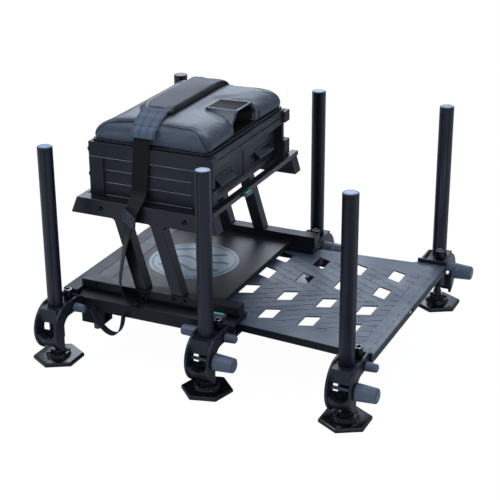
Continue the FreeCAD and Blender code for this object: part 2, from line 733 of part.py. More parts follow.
def arch(outline, x, grow=0.0):
    """A closed wire square to X from half an outline, grown outwards and downwards."""
    half = [(y + grow, lid_top + z + grow * (1 if z else -1)) for y, z in outline]
    return loop([(x, -y, z) for y, z in half] + [(x, y, z) for y, z in reversed(half)])


def handle_shell(grow):
    """The outside of the lift handle, grown all round by a clearance."""
    front = mid_x + box_front - handle_setback
    return skin([arch(handle_front, front, grow), arch(handle_rear, mid_x + handle_back - grow, grow)])


def build_lid():
    x0, x1 = mid_x + box_rear + lid_inset, mid_x + box_front - lid_inset
    half = box_half - lid_inset
    panel = round_edges(block(x0, x1, -half, half, lid_low, lid_top), corner_cut, "z")
    for i in range(1, hinge_knuckles, 2):
        panel = panel.fuse(knuckle(i, True))
    save("lid_panel", panel.removeSplitter())
    crown_low = cushion_low + cushion_edge
    levels = [(cushion_low + cushion_edge * share, insets) for share, *insets in roll_insets]
    roll = [cushion_section(x0, x1, half, z, *insets) for z, insets in levels]
    levels = [(crown_low + cushion_crown * share, insets) for share, *insets in crown_insets]
    crown = [cushion_section(x0, x1, half, z, *insets) for z, insets in levels]
    front = mid_x + box_front - handle_setback
    well = skin([arch(handle_front, front, soft_gap), arch(handle_front, mid_x + box_front, soft_gap)])
    cushion = skin(roll, False).fuse(skin(crown)).cut(handle_shell(soft_gap)).cut(well)
    save("seat_cushion", max(cushion.Solids, key=lambda s: s.Volume))
    pocket = skin([arch(mouth_front, front), arch(mouth_rear, front - handle_pocket)])
    save("lift_handle", handle_shell(0).cut(pocket))


# Shoulder strap: pad with its end tabs, webbing, buckles and the spare tail
def ribbon(stations, width, thick):
    """A flat band through stations of centre x, y and z and a turn from square to Y."""
    u, v = width / 2, thick / 2
    corners = [(-u, -v), (u, -v), (u, v), (-u, v)]
    rings = []
    for x, y, z, turn in stations:
        c, d = math.cos(math.radians(turn)), math.sin(math.radians(turn))
        rings.append(loop([(x + a * c + b * d, y - a * d + b * c, z) for a, b in corners]))
    return skin(rings)


def build_strap():
    top = cushion_low + cushion_edge + cushion_crown + soft_gap
    face = box_half + soft_gap
    bend = pad_end_radius
    x0, x1 = (mid_x + x for x in pad_x)
    pad_half = box_half - bend - pad_end_setback
    pad = block(x0, x1, -pad_near, pad_half, top, top + shoulder_pad_thick)
    pad = round_edges(pad, pad_corner, "z")
    pad = round_edges(pad, shoulder_pad_thick / 3, "y", lambda c: c.z > top + 1)
    t0, t1 = (mid_x + x for x in tab_x)
    turn = rod(bend + tab_thick, (t0, -face + bend, top - bend), (1, 0, 0), t1 - t0)
    turn = turn.cut(rod(bend, (t0, -face + bend, top - bend), (1, 0, 0), t1 - t0))
    turn = turn.common(block(t0, t1, -face - tab_thick, -face + bend, top - bend, top + tab_thick))
    drop = block(t0, t1, -face - tab_thick, -face, lid_low, top - bend)
    tab = turn.fuse(drop)
    near_link = block(t0, t1, -face + bend, -pad_near, top, top + tab_thick)
    far_link = block(t0, t1, pad_half, face - bend, top, top + tab_thick)
    pad = pad.fuse(tab).fuse(near_link).fuse(mirrored(tab)).fuse(far_link).removeSplitter()
    save("shoulder_pad", pad)
    y_box = face + web_thick / 2
    y_beam = frame_out + soft_gap + web_thick / 2
    twist = math.radians(web_twist)
    hang_reach = (web_width * math.sin(twist) + web_thick * math.cos(twist)) / 2
    y_hang = max(bar_out, frame_out) + soft_gap + hang_reach
    bar_edge = beam_top + crossbar_high
    half = buckle_high / 2
    route = [(web_top_x, y_box, tray_top, 0), (web_beam_x, y_box, bar_edge, 0)]
    route += [(web_beam_x, y_beam, beam_top, 0), (web_buckle_x, y_beam, buckle_z + half, 0)]
    route += [(web_buckle_x, y_beam, buckle_z - half, 0)]
    route += [(x, y_hang, z, web_twist) for x, z in web_hang]
    web = ribbon([(mid_x + x, -y, z, turn) for x, y, z, turn in route], web_width, web_thick)
    save("strap_webbing", web, mirrored(web))
    by0 = -y_beam - web_thick / 2 - soft_gap
    buckle = block(mid_x + web_buckle_x - buckle_width / 2, mid_x + web_buckle_x + buckle_width / 2,
                   by0 - buckle_thick, by0, buckle_z - half, buckle_z + half)
    buckle = round_edges(buckle, buckle_thick / 3, "x")
    save("strap_buckles", buckle, mirrored(buckle))
    save("strap_tail", hanging_loop())


def hanging_loop():
    """The spare webbing, a loop that hangs beside the right rail with its width across."""
    y0 = -rail_out - soft_gap
    route = [(mid_x + x, z) for x, z in tail_route]
    near, far = [], []
    for i, (x, z) in enumerate(route):
        before, after = route[max(i - 1, 0)], route[min(i + 1, len(route) - 1)]
        run = math.hypot(after[0] - before[0], after[1] - before[1])
        nx = -(after[1] - before[1]) / run * web_thick / 2
        nz = (after[0] - before[0]) / run * web_thick / 2
        near.append((x - nx, z - nz))
        far.append((x + nx, z + nz))
    return prism("y", near + far[::-1], y0 - tail_width, y0)


# Footplate with its staggered grip holes
def plate_outline(inset):
    """Half outline of the footplate on the left side, then its mirror image."""
    shoe_half = rail_out - rail_web - slide_gap
    half = [(plate_rear + inset, shoe_half - inset), (plate_rear + shoe_length - inset, shoe_half - inset),
            (plate_rear + shoe_length - inset, plate_half_rear - inset),
            (plate_waist, plate_half_rear - inset), (plate_ear, plate_half_front - inset),
            (plate_ear + ear_slope, rail_out - inset), (plate_front - inset, rail_out - inset)]
    points = [(mid_x + x, y) for x, y in half]
    return points + [(x, -y) for x, y in reversed(points)]


def build_footplate():
    low = plate_top - plate_skirt
    plate = prism("z", plate_outline(0), low, plate_top)
    plate = plate.cut(prism("z", plate_outline(plate_wall), low, plate_top - plate_skin))
    step = hole_columns[1] - hole_columns[0]
    for column in hole_columns:
        x = mid_x + column + step / 2 - rib_width / 2
        if x + rib_width < mid_x + plate_front - 3 * plate_wall:
            half = plate_half_rear - plate_wall
            plate = plate.fuse(block(x, x + rib_width, -half, half, rib_low, plate_top - plate_skin))
    for column in hole_columns:
        for row in hole_rows:
            x0, x1 = mid_x + column - hole_width / 2, mid_x + column + hole_width / 2
            y0, y1 = row - hole_length / 2, row + hole_length / 2
            shape = [(x0, y0 + hole_slant), (x1, y0), (x1, y1 - hole_slant), (x0, y1)]
            plate = plate.cut(prism("z", shape, low, plate_top))
            plate = plate.cut(prism("z", [(x, -y) for x, y in shape], low, plate_top))
    slot_z = (low + plate_top - plate_skin) / 2
    front = mid_x + plate_front
    plate = plate.cut(block(front - plate_wall, front, -slot_width / 2, slot_width / 2,
                            slot_z - slot_high / 2, slot_z + slot_high / 2))
    save("footplate", plate.removeSplitter())


# Accessory socket, spirit levels and bolts
def build_fittings():
    x0, x1 = mid_x + socket_x[0], mid_x + socket_x[1]
    y0 = -rail_out + socket_inset
    y1 = y0 + socket_width
    z0 = rail_low - socket_height
    cy, cz = (y0 + y1) / 2, rail_low - socket_height / 2
    body = block(x0, x1, y0, y1, z0, rail_low).cut(rod(socket_bore, (x0, cy, cz), (1, 0, 0), x1 - x0))
    cx = (x0 + x1) / 2
    floor = cz - socket_bore
    body = body.cut(rod(screw_stem + run_gap, (cx, cy, z0), (0, 0, 1), floor + 1 - z0))
    save("accessory_socket", body)
    screw = rod(screw_knob, (cx, cy, z0 - screw_neck), (0, 0, -1), screw_length)
    end = [e for e in screw.Edges if e.CenterOfMass.z < z0 - screw_length]
    screw = screw.makeChamfer(screw_neck, end)
    screw = screw.fuse(rod(screw_stem, (cx, cy, z0 - screw_neck), (0, 0, 1), floor - z0 + screw_neck - 1))
    save("socket_screw", screw.removeSplitter())

    bar_face = mid_x + front_bar_x[1] + level_depth / 2
    spots = [(mid_x + rail_level_x, -bar_out - level_proud, rail_lip, (level_length, level_width)),
             (bar_face, -bar_level_y, beam_top, (level_depth, level_length))]
    housings, vials = [], []
    for x, y, z, (dx, dy) in spots:
        body = block(x - dx / 2, x + dx / 2, y - dy / 2, y + dy / 2, z, z + level_height)
        vx, vy = (vial_length, 0) if dx > dy else (0, vial_length)
        start = (x - vx / 2, y - vy / 2, z + level_height - vial_radius / 2)
        vial = rod(vial_radius, start, (vx, vy, 0), vial_length)
        housings.append(body.cut(vial))
        vials.append(vial)
    save("spirit_levels", *housings)
    save("level_vials", *vials)

    bolts = []
    rail_z = (rail_lip + track_high + bar_top) / 2
    beam_z = (beam_low + beam_top) / 2
    side_spots = [(mid_x + x + dx, bar_out, rail_z) for x in strut_feet for dx in strut_bolts]
    side_spots += [(mid_x + c, frame_out, beam_z) for c in bearer_centres]
    side_spots += [(mid_x - leg_gap_rear + flange_half + rear_bolt_gap, bar_out, rail_z)]
    for x, y, z in side_spots:
        bolt = rod(bolt_radius, (x, -y, z), (0, -1, 0), bolt_head)
        bolt = bolt.cut(rod(bolt_radius / 2, (x, -y - bolt_head / 2, z), (0, -1, 0), bolt_head))
        bolts += [bolt, mirrored(bolt)]
    save("frame_bolts", *bolts)


build_legs()
build_base()
build_seat_frames()
build_box()
build_drawers()
build_lid()
build_strap()
build_footplate()
build_fittings()
print("middle leg axis at x =", round(mid_x, 3), "; parts written")
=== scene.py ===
import json
import math

import bmesh
import bpy
from mathutils import Matrix, Vector
from mathutils.bvhtree import BVHTree


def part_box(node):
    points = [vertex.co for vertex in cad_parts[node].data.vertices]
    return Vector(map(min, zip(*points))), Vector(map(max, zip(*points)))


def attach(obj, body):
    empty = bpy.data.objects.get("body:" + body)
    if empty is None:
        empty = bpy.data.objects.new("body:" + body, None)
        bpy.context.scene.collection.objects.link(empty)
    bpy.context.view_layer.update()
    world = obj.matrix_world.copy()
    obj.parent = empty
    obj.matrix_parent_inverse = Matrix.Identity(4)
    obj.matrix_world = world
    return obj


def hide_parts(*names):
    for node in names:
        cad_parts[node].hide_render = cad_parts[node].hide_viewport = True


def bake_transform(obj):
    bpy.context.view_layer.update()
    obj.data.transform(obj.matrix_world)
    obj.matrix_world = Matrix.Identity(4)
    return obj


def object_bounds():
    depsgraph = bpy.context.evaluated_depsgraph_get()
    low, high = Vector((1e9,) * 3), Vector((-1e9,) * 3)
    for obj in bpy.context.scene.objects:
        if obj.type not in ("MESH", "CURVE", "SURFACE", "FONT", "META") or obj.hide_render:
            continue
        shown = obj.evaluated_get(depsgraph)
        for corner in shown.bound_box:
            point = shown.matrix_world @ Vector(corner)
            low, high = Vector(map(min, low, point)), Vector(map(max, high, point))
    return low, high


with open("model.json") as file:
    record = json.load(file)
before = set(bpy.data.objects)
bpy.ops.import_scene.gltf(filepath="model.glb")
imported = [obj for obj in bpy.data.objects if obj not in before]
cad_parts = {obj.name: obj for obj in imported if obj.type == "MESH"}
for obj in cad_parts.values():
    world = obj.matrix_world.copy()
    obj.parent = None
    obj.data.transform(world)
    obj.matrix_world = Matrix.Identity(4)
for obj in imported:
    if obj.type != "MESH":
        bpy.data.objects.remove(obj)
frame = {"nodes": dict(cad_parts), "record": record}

cad_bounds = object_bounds()
MM = 0.001

# The view: a long lens looks down at the seat box's front right corner from about three
# metres, as a catalogue picture is taken. The angles are those of the photograph.
EYE = Vector((1.2479, -2.7426, 1.4900))
PITCH, YAW, ROLL = math.radians(22.87), math.radians(24.957), math.radians(-0.373)
forward = Vector((-math.sin(YAW) * math.cos(PITCH), math.cos(YAW) * math.cos(PITCH), -math.sin(PITCH)))
right = forward.cross(Vector((0, 0, 1))).normalized()
above = right.cross(forward)
right, above = (right * math.cos(ROLL) + above * math.sin(ROLL),
                above * math.cos(ROLL) - right * math.sin(ROLL))
lens = bpy.data.cameras.new("lens")
lens.sensor_width = 36.0
lens.lens = 96.03
camera = bpy.data.objects.new("camera", lens)
camera.matrix_world = Matrix((right, above, -forward)).transposed().to_4x4()
camera.matrix_world.translation = EYE
bpy.context.scene.collection.objects.link(camera)
bpy.context.scene.camera = camera
bpy.context.scene.view_settings.view_transform = "Standard"


def linear(code, share=1.0):
    """An sRGB hex colour as the linear values that a shader takes, made lighter or darker."""
    parts = [int(code[i:i + 2], 16) / 255 for i in (1, 3, 5)]
    return [share * (p / 12.92 if p <= 0.04045 else ((p + 0.055) / 1.055) ** 2.4) for p in parts] + [1.0]


def add(tree, kind, inputs=None, **settings):
    """Adds a node, sets its properties, and sets its inputs or links them."""
    node = tree.nodes.new("ShaderNode" + kind)
    for name, value in settings.items():
        setattr(node, name, value)
    for name, value in (inputs or {}).items():
        if isinstance(value, bpy.types.NodeSocket):
            tree.links.new(value, node.inputs[name])
        else:
            node.inputs[name].default_value = value
    return node


def plain(name, **inputs):
    """A new material with one shader, whose plain inputs are set here."""
    material = bpy.data.materials.new(name)
    material.use_nodes = True
    tree = material.node_tree
    shader = tree.nodes["Principled BSDF"]
    for socket, value in inputs.items():
        shader.inputs[socket.replace("_", " ")].default_value = value
    return material, tree, shader


# The studio: an even sky that is brighter overhead, a large soft lamp high on the left, a
# weaker one in front and one behind, which lays the sheen on every surface that faces up.
world = bpy.data.worlds.new("studio")
world.use_nodes = True
bpy.context.scene.world = world
sky = world.node_tree
path = add(sky, "LightPath")
seen = add(sky, "Math", {0: path.outputs["Is Camera Ray"], 1: path.outputs["Is Transmission Ray"]},
           operation="MAXIMUM")
where = add(sky, "TexCoord")
height = add(sky, "SeparateXYZ", {0: where.outputs["Generated"]})
glow = add(sky, "MapRange", {"Value": height.outputs["Z"], "From Min": 0.0, "From Max": 0.9,
                             "To Min": 0.20, "To Max": 0.85})
level = add(sky, "Mix", {"Factor": seen.outputs[0], "A": glow.outputs[0], "B": 1.0})
sky.links.new(level.outputs[0], sky.nodes["Background"].inputs["Strength"])
tint = add(sky, "Mix", {0: seen.outputs[0], 6: linear("#dae6f8"), 7: linear("#ffffff")}, data_type="RGBA")
sky.links.new(tint.outputs[2], sky.nodes["Background"].inputs["Color"])


def lamp(name, place, target, size, power, tint):
    """A large square soft lamp that faces a point."""
    light = bpy.data.lights.new(name, "AREA")
    light.shape = "SQUARE"
    light.size = size
    light.energy = power
    light.color = linear(tint)[:3]
    holder = bpy.data.objects.new(name, light)
    aim = (Vector(target) - Vector(place)).to_track_quat("-Z", "Y")
    holder.matrix_world = Matrix.Translation(place) @ aim.to_matrix().to_4x4()
    bpy.context.scene.collection.objects.link(holder)


lamp("soft_left", (-2.2, -0.8, 2.6), (0, 0, 0.3), 1.8, 34, "#e8f0fb")
lamp("soft_front", (2.6, -1.8, 2.2), (0, 0, 0.3), 1.6, 15, "#dfe9f8")
lamp("soft_back", (-1.3, 2.7, 1.9), (0, 0, 0.4), 2.0, 42, "#dfe9f8")

# Floor: white paper, lit from below for the eye as on a catalogue table, so only a faint
# shadow of the object shows on it.
bm = bmesh.new()
bmesh.ops.create_grid(bm, x_segments=1, y_segments=1, size=30.0)
floor_mesh = bpy.data.meshes.new("floor")
bm.to_mesh(floor_mesh)
bm.free()
floor = bpy.data.objects.new("floor", floor_mesh)
bpy.context.scene.collection.objects.link(floor)
paper, tree, shader = plain("studio_paper", Base_Color=linear("#dcdee0"), Roughness=0.95)
path = add(tree, "LightPath")
direct = add(tree, "Math", {0: path.outputs["Is Camera Ray"], 1: path.outputs["Is Transmission Ray"]},
             operation="MAXIMUM")
share = add(tree, "Math", {0: direct.outputs[0], 1: 0.93}, operation="MULTIPLY")
lit = add(tree, "Emission", {"Color": linear("#ffffff"), "Strength": 1.05})
both = add(tree, "MixShader", {0: share.outputs[0], 1: shader.outputs[0], 2: lit.outputs[0]})
tree.links.new(both.outputs[0], tree.nodes["Material Output"].inputs["Surface"])
floor_mesh.materials.append(paper)


# Guide rails: extruded aluminium channels with a hollow bar on top, powder coated. The coat
# has a fine pebbled skin, whose gloss and shade wander a little along each length.
def coat(name, colour, roughness, pebble, depth, wander=0.05, patchy=0.10, **inputs):
    """A coat or moulded skin with bumps, pebble and depth in millimetres, and an uneven gloss."""
    material, tree, shader = plain(name, **inputs)
    where = add(tree, "TexCoord").outputs["Object"]
    fine = add(tree, "TexNoise", {"Vector": where, "Scale": 1 / (pebble * MM), "Detail": 2.0})
    bump = add(tree, "Bump", {"Height": fine.outputs[0], "Distance": depth * MM, "Strength": 0.6})
    tree.links.new(bump.outputs[0], shader.inputs["Normal"])
    slow = add(tree, "TexNoise", {"Vector": where, "Scale": 14.0, "Detail": 3.0})
    gloss = add(tree, "MapRange", {"Value": slow.outputs[0], "From Min": 0.3, "From Max": 0.7,
                                   "To Min": roughness - wander, "To Max": roughness + wander})
    tree.links.new(gloss.outputs[0], shader.inputs["Roughness"])
    darker, lighter = linear(colour, 1 - patchy), linear(colour, 1 + patchy)
    shade = add(tree, "Mix", {0: slow.outputs[0], 6: darker, 7: lighter}, data_type="RGBA")
    tree.links.new(shade.outputs[2], shader.inputs["Base Color"])
    return material


bodies = {n: b for b, nodes in frame["record"]["behaviour"]["bodies"].items() for n in nodes}


def put(name, bm, material, node, sharp=35):
    """Turns a bmesh into a piece that rides on the body of a node."""
    mesh = bpy.data.meshes.new(name)
    bm.to_mesh(mesh)
    bm.free()
    mesh.polygons.foreach_set("use_smooth", [True] * len(mesh.polygons))
    mesh.set_sharp_from_angle(angle=math.radians(sharp))
    mesh.materials.append(material)
    piece = bpy.data.objects.new(name, mesh)
    bpy.context.scene.collection.objects.link(piece)
    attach(piece, bodies[node])
    return piece


def solid_of(node):
    """A merged copy of a CAD piece, without the lines between its flat triangles."""
    bm = bmesh.new()
    bm.from_mesh(frame["nodes"][node].data)
    bmesh.ops.remove_doubles(bm, verts=bm.verts, dist=0.002 * MM)
    bmesh.ops.dissolve_limit(bm, angle_limit=math.radians(0.5), verts=bm.verts, edges=bm.edges)
    return bm


def eased(node, material, width=0.9, segments=2, turn=38):
    """The piece of a CAD node with its edges rounded, as casting and coating leave them."""
    piece = put(node + "_eased", solid_of(node), material, node)
    bevel = piece.modifiers.new("eased_edges", "BEVEL")
    bevel.width = width * MM
    bevel.segments = segments
    bevel.limit_method = "ANGLE"
    bevel.angle_limit = math.radians(turn)
    bevel.use_clamp_overlap = False
    bevel.harden_normals = True
    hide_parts(node)
    return piece


powder = coat("powder_coat_black", "#14161d", 0.44, 1.1, 0.05, Specular_IOR_Level=0.3)
for side in ("right", "left"):
    eased("side_rail_" + side, powder, 0.8)

# Cross rails: a closed box section across the rear and a flat tube under the front, in the
# same black powder coat as the guide rails that they are bolted between.
eased("rear_cross_rail", powder, 1.2)
eased("front_cross_rail", powder)


# Deck: a sheet of lacquered plywood between the rails. The lacquer is satin brown-black and
# takes a soft sheen from the studio; one saw line runs across it near the rear.
deck_lacquer = coat("lacquered_plywood", "#2b2826", 0.40, 2.2, 0.02, 0.03, 0.12,
                    Specular_IOR_Level=0.35)
eased("deck_panel", deck_lacquer, 0.6)


def turned(bm, profile, centre, steps=32, axis=(0, 0, 1)):
    """Adds a body of revolution from a profile of radius and height, all in millimetres."""
    axis = Vector(axis).normalized()
    out = axis.orthogonal().normalized()
    middle = Vector(centre) * MM
    verts = [bm.verts.new(middle + (out * r + axis * h) * MM) for r, h in profile]
    edges = [bm.edges.new(pair) for pair in zip(verts, verts[1:])]
    bmesh.ops.spin(bm, geom=verts + edges, cent=middle, axis=axis, angle=2 * math.pi, steps=steps,
                   use_merge=True)
    bmesh.ops.remove_doubles(bm, verts=bm.verts, dist=0.001 * MM)
    bmesh.ops.recalc_face_normals(bm, faces=bm.faces)


# Roundel: a thin printed disc let into the deck, pale grey-blue under clear lacquer, with a
# dark rim and a plain pattern of slanting waves.
roundel_x, roundel_radius, roundel_thick = -184.0, 114.0, 0.5
roundel_print, tree, shader = plain("printed_disc_under_lacquer", Roughness=0.38, Coat_Weight=0.12,
                                    Coat_Roughness=0.22)
where = add(tree, "Mapping", {"Vector": add(tree, "TexCoord").outputs["Object"],
                              "Location": (-roundel_x * MM, 0, 0)})
spot = add(tree, "SeparateXYZ", {0: where.outputs[0]})
reach = add(tree, "VectorMath", {0: where.outputs[0], 1: (1, 1, 0)}, operation="MULTIPLY")
reach = add(tree, "VectorMath", {0: reach.outputs[0]}, operation="LENGTH")
wave_length, wave_high, wave_pitch = 100.0, 10.0, 52.0
swell = add(tree, "Math", {0: spot.outputs["X"], 1: 2 * math.pi / (wave_length * MM)}, operation="MULTIPLY")
swell = add(tree, "Math", {0: swell.outputs[0]}, operation="SINE")
swell = add(tree, "Math", {0: swell.outputs[0], 1: wave_high * MM, 2: spot.outputs["Y"]},
            operation="MULTIPLY_ADD")
band = add(tree, "Math", {0: swell.outputs[0], 1: 1 / (wave_pitch * MM)}, operation="MULTIPLY")
band = add(tree, "Math", {0: band.outputs[0]}, operation="FRACT")
band = add(tree, "Math", {0: band.outputs[0], 1: 0.24}, operation="LESS_THAN")
inner = add(tree, "Math", {0: reach.outputs["Value"], 1: 91 * MM}, operation="LESS_THAN")
wave = add(tree, "Math", {0: band.outputs[0], 1: inner.outputs[0]}, operation="MULTIPLY")
rim = add(tree, "Math", {0: reach.outputs["Value"], 1: 104 * MM, 2: 2 * MM}, operation="COMPARE")
dark = add(tree, "Math", {0: wave.outputs[0], 1: rim.outputs[0]}, operation="MAXIMUM")
ink = add(tree, "Mix", {0: dark.outputs[0], 6: linear("#8299a3"), 7: linear("#2a3238")}, data_type="RGBA")
tree.links.new(ink.outputs[2], shader.inputs["Base Color"])
bm = bmesh.new()
deck_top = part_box("deck_panel")[1].z / MM
turned(bm, [(0, deck_top), (roundel_radius, deck_top), (roundel_radius, deck_top + 0.8 * roundel_thick),
            (roundel_radius - 0.6, deck_top + roundel_thick), (0, deck_top + roundel_thick)],
       (roundel_x, 0, 0), 64)
put("deck_roundel", bm, roundel_print, "deck_panel")


# Leg blocks: aluminium castings, one at each leg, with two C-shaped cheeks, a collar that is
# pinched round the tube and a lower cup. Sand casting and a thick coat leave soft edges.
cast_powder = coat("powder_coat_on_casting", "#171a24", 0.42, 1.6, 0.07, 0.07)
legs = [(row, side) for row in ("rear", "mid", "front") for side in ("right", "left")]
for row, side in legs:
    eased("leg_block_%s_%s" % (row, side), cast_powder, 1.4)

# Block screws: a tall steel cap screw stands on each collar. Its head is black, and its
# turned end is bare zinc plate, which catches the light as a bright ring.
black_oxide = coat("black_oxide_steel", "#191b20", 0.30, 0.8, 0.02, 0.03, 0.05, Metallic=0.6)
zinc = coat("zinc_plated_steel", "#a4a9ae", 0.26, 0.8, 0.02, 0.05, 0.08, Metallic=1.0)
screw_tops = {}
for node in ("block_screws_base", "block_screws_front"):
    eased(node, black_oxide, 0.7)
    low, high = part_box(node)
    screw_tops[node] = high.z / MM
screw_radius, screw_ahead, screw_inboard = 10.5, 12.5, 37.5
leg_axis = {}
for row, side in legs:
    low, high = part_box("leg_tube_%s_%s" % (row, side))
    leg_axis[row, side] = ((low.x + high.x) / 2 / MM, (low.y + high.y) / 2 / MM)
for row, side in legs:
    node = "block_screws_front" if row == "front" else "block_screws_base"
    x, y = leg_axis[row, side]
    top = screw_tops[node]
    inboard = 1 if side == "right" else -1
    bm = bmesh.new()
    turned(bm, [(6.2, top - 0.6), (screw_radius - 1.2, top - 0.6), (screw_radius - 0.6, top + 0.2),
                (screw_radius - 1.6, top + 1.6), (7.2, top + 1.9), (6.2, top + 0.6), (6.2, top - 0.6)],
           (x + screw_ahead, y + inboard * screw_inboard, 0), 28)
    put("screw_ring_%s_%s" % (row, side), bm, zinc, node)


# Leg tubes: 36 mm aluminium tubes, drawn and anodised black, so they are even and dark with
# a soft blue sheen down their length. Each has a pressed cap; all but the rear left one
# carry a pale blue disc.
anodised = coat("anodised_aluminium_black", "#151826", 0.38, 0.9, 0.02, 0.02, 0.04)
disc_blue = coat("epoxy_disc_pale_blue", "#6385a3", 0.30, 1.6, 0.01, 0.03, 0.10)
disc_radius, disc_thick, ring_outer, ring_inner = 15.4, 0.7, 12.6, 11.2
for row, side in legs:
    node = "leg_tube_%s_%s" % (row, side)
    eased(node, anodised, 0.8)
    if (row, side) == ("rear", "left"):
        continue
    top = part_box(node)[1].z / MM
    bm = bmesh.new()
    turned(bm, [(0, top - 0.1), (disc_radius, top - 0.1), (disc_radius, top + disc_thick - 0.3),
                (disc_radius - 0.4, top + disc_thick), (ring_outer, top + disc_thick),
                (ring_outer - 0.3, top + 0.2), (ring_inner + 0.3, top + 0.2),
                (ring_inner, top + disc_thick), (0, top + disc_thick)], (*leg_axis[row, side], 0), 36)
    put("cap_disc_%s_%s" % (row, side), bm, disc_blue, node)


# Feet: cast hexagonal plates on ball joints, in thick gloss black over a rubber pad. Four
# raised bosses with socket screws hold the ball's retaining plate down.
foot_gloss = coat("gloss_powder_coat", "#0e1014", 0.20, 1.6, 0.03, 0.03)
rubber = coat("moulded_rubber", "#0b0c0e", 0.75, 1.0, 0.06, 0.05)
pad_high, boss_low, boss_high = 3.0, 17.8, 20.8
boss_radius, socket_radius, boss_ring, boss_count = 6.8, 2.8, 23.0, 4
foot_turn = {"rear": 0.0, "mid": -15.0, "front": 0.0}
for row, side in legs:
    node = "foot_%s_%s" % (row, side)
    foot = eased(node, foot_gloss, 0.9, 3)
    foot.data.materials.append(rubber)
    for face in foot.data.polygons:
        if face.center.z < (pad_high + 0.01) * MM:
            face.material_index = 1
    x, y = leg_axis[row, side]
    bm = bmesh.new()
    for i in range(boss_count):
        turn = math.radians(360 * (i + 0.5) / boss_count + foot_turn[row]) * (1 if side == "right" else -1)
        centre = (x + boss_ring * math.cos(turn), y + boss_ring * math.sin(turn), 0)
        turned(bm, [(0, boss_low), (boss_radius, boss_low), (boss_radius, boss_high - 0.8),
                    (boss_radius - 0.8, boss_high), (socket_radius + 0.4, boss_high),
                    (socket_radius, boss_high - 0.4), (socket_radius, boss_high - 2.2), (0, boss_high - 2.2)],
               centre, 20)
    put("foot_bosses_%s_%s" % (row, side), bm, foot_gloss, node)


# Knobs: moulded in glass-filled nylon round a steel stud, with ten flats that are softly
# rounded into each other. The large ones pinch the tubes, the small ones lock the arms.
glass_nylon = coat("glass_filled_nylon", "#5c6675", 0.42, 1.3, 0.05, 0.05)
for node in frame["nodes"]:
    if node.startswith("clamp_knob"):
        eased(node, glass_nylon, 2.2, 3, 28)
    elif node.startswith("lock_knob"):
        eased(node, glass_nylon, 1.2, 2, 28)


# Seat frames: each side is one welded beam with two raked struts of square tube, in a finer
# satin coat. Two flat bars tie them across, two bearers carry the box, and bolts hold all.
satin_powder = coat("satin_powder_coat", "#15171c", 0.34, 0.9, 0.03, 0.04)
for side in ("right", "left"):
    eased("seat_frame_" + side, satin_powder, 1.6, 3)
eased("upper_crossbars", satin_powder)
eased("seat_bearers", satin_powder)
eased("frame_bolts", black_oxide, 0.6)


# Box: a casing of moulded polypropylene with four corner posts and a tray on top, all deep
# charcoal with a matt grain. Thin raised beads run along the lines on both sides, coloured pale as a painted
# highlight.
charcoal = coat("polypropylene_charcoal", "#12151e", 0.46, 1.8, 0.07, 0.07)
for node in ("box_casing", "corner_posts", "seat_tray"):
    eased(node, charcoal, 1.1)


def bar(bm, low, high):
    """Adds a straight bar between two corners, in millimetres."""
    low, high = Vector(low) * MM, Vector(high) * MM
    spread = Matrix.Diagonal((*(high - low), 1))
    bmesh.ops.create_cube(bm, size=1, matrix=Matrix.Translation((low + high) / 2) @ spread)


# The beads' pale grey is a painted highlight for the light caught by the steps between the panels.
bead_painted_highlight = coat("bead_painted_highlight_grey", "#8b93a0", 0.38, 0.8, 0.02, 0.05, 0.10, Metallic=0.5)
post_low, post_high = (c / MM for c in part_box("corner_posts"))
ear_behind, ear_ahead, ear_aside = 8.0, 8.0, 6.0
box_rear, box_front, box_half = post_low.x + ear_behind, post_high.x - ear_ahead, post_high.y - ear_aside
rear_post, front_post, bead_high = 38.5, 49.5, 1.0
side_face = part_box("box_casing")[1].y / MM
casing_lines, tray_line = (421.3, 452.3, 389.6), 483.0
tray_bead_high, tray_bead_rear, tray_bead_front = 0.8, 1.0, 18.0
bm = bmesh.new()
for side in (-1, 1):
    inner, outer = sorted((side * (side_face - 1.4), side * (side_face + 0.5)))
    for z in casing_lines:
        bar(bm, (box_rear + rear_post, inner, z), (box_front - front_post, outer, z + bead_high))
    inner, outer = sorted((side * (box_half - 0.6), side * (box_half + 0.4)))
    bar(bm, (box_rear + tray_bead_rear, inner, tray_line),
        (box_front - tray_bead_front, outer, tray_line + tray_bead_high))
bmesh.ops.bevel(bm, geom=bm.edges[:], offset=0.25 * MM, affect="EDGES", segments=1, profile=0.5, material=-1)
put("side_beads", bm, bead_painted_highlight, "box_casing")


# Drawers: two moulded drawers behind the front posts. Each has a finger latch, a wedge of
# nylon that turns on a pin at its upper edge.
drawer_grey = coat("polypropylene_drawer", "#181b22", 0.44, 1.8, 0.07, 0.07)
latch_nylon = coat("latch_nylon_black", "#1a1e27", 0.36, 1.3, 0.04, 0.05)
for side in ("right", "left"):
    eased("drawer_" + side, drawer_grey, 1.0)
    eased("drawer_latch_" + side, latch_nylon, 0.8)


# Lid: a moulded board on five hinge barrels behind the tray, with a steel pin through them.
eased("lid_panel", charcoal, 0.9)
eased("lid_hinge_pin", zinc, 0.5)


# Lift handle: an ABS moulding, smooth and half glossy, let into the cushion's front. Its
# finger mouth has thin walls, so all its edges are drawn with a generous radius.
abs_gloss = coat("abs_dark_grey", "#3b4148", 0.34, 1.5, 0.02, 0.03)
handle_painted_dark = coat("abs_black_painted_shade", "#08090b", 0.70, 1.5, 0.03, 0.03, Specular_IOR_Level=0.2)
handle = eased("lift_handle", abs_gloss, 1.2, 3, 50)
handle_bm = bmesh.new()
handle_bm.from_mesh(frame["nodes"]["lift_handle"].data)
handle_skin = BVHTree.FromBMesh(handle_bm)
handle_bm.free()
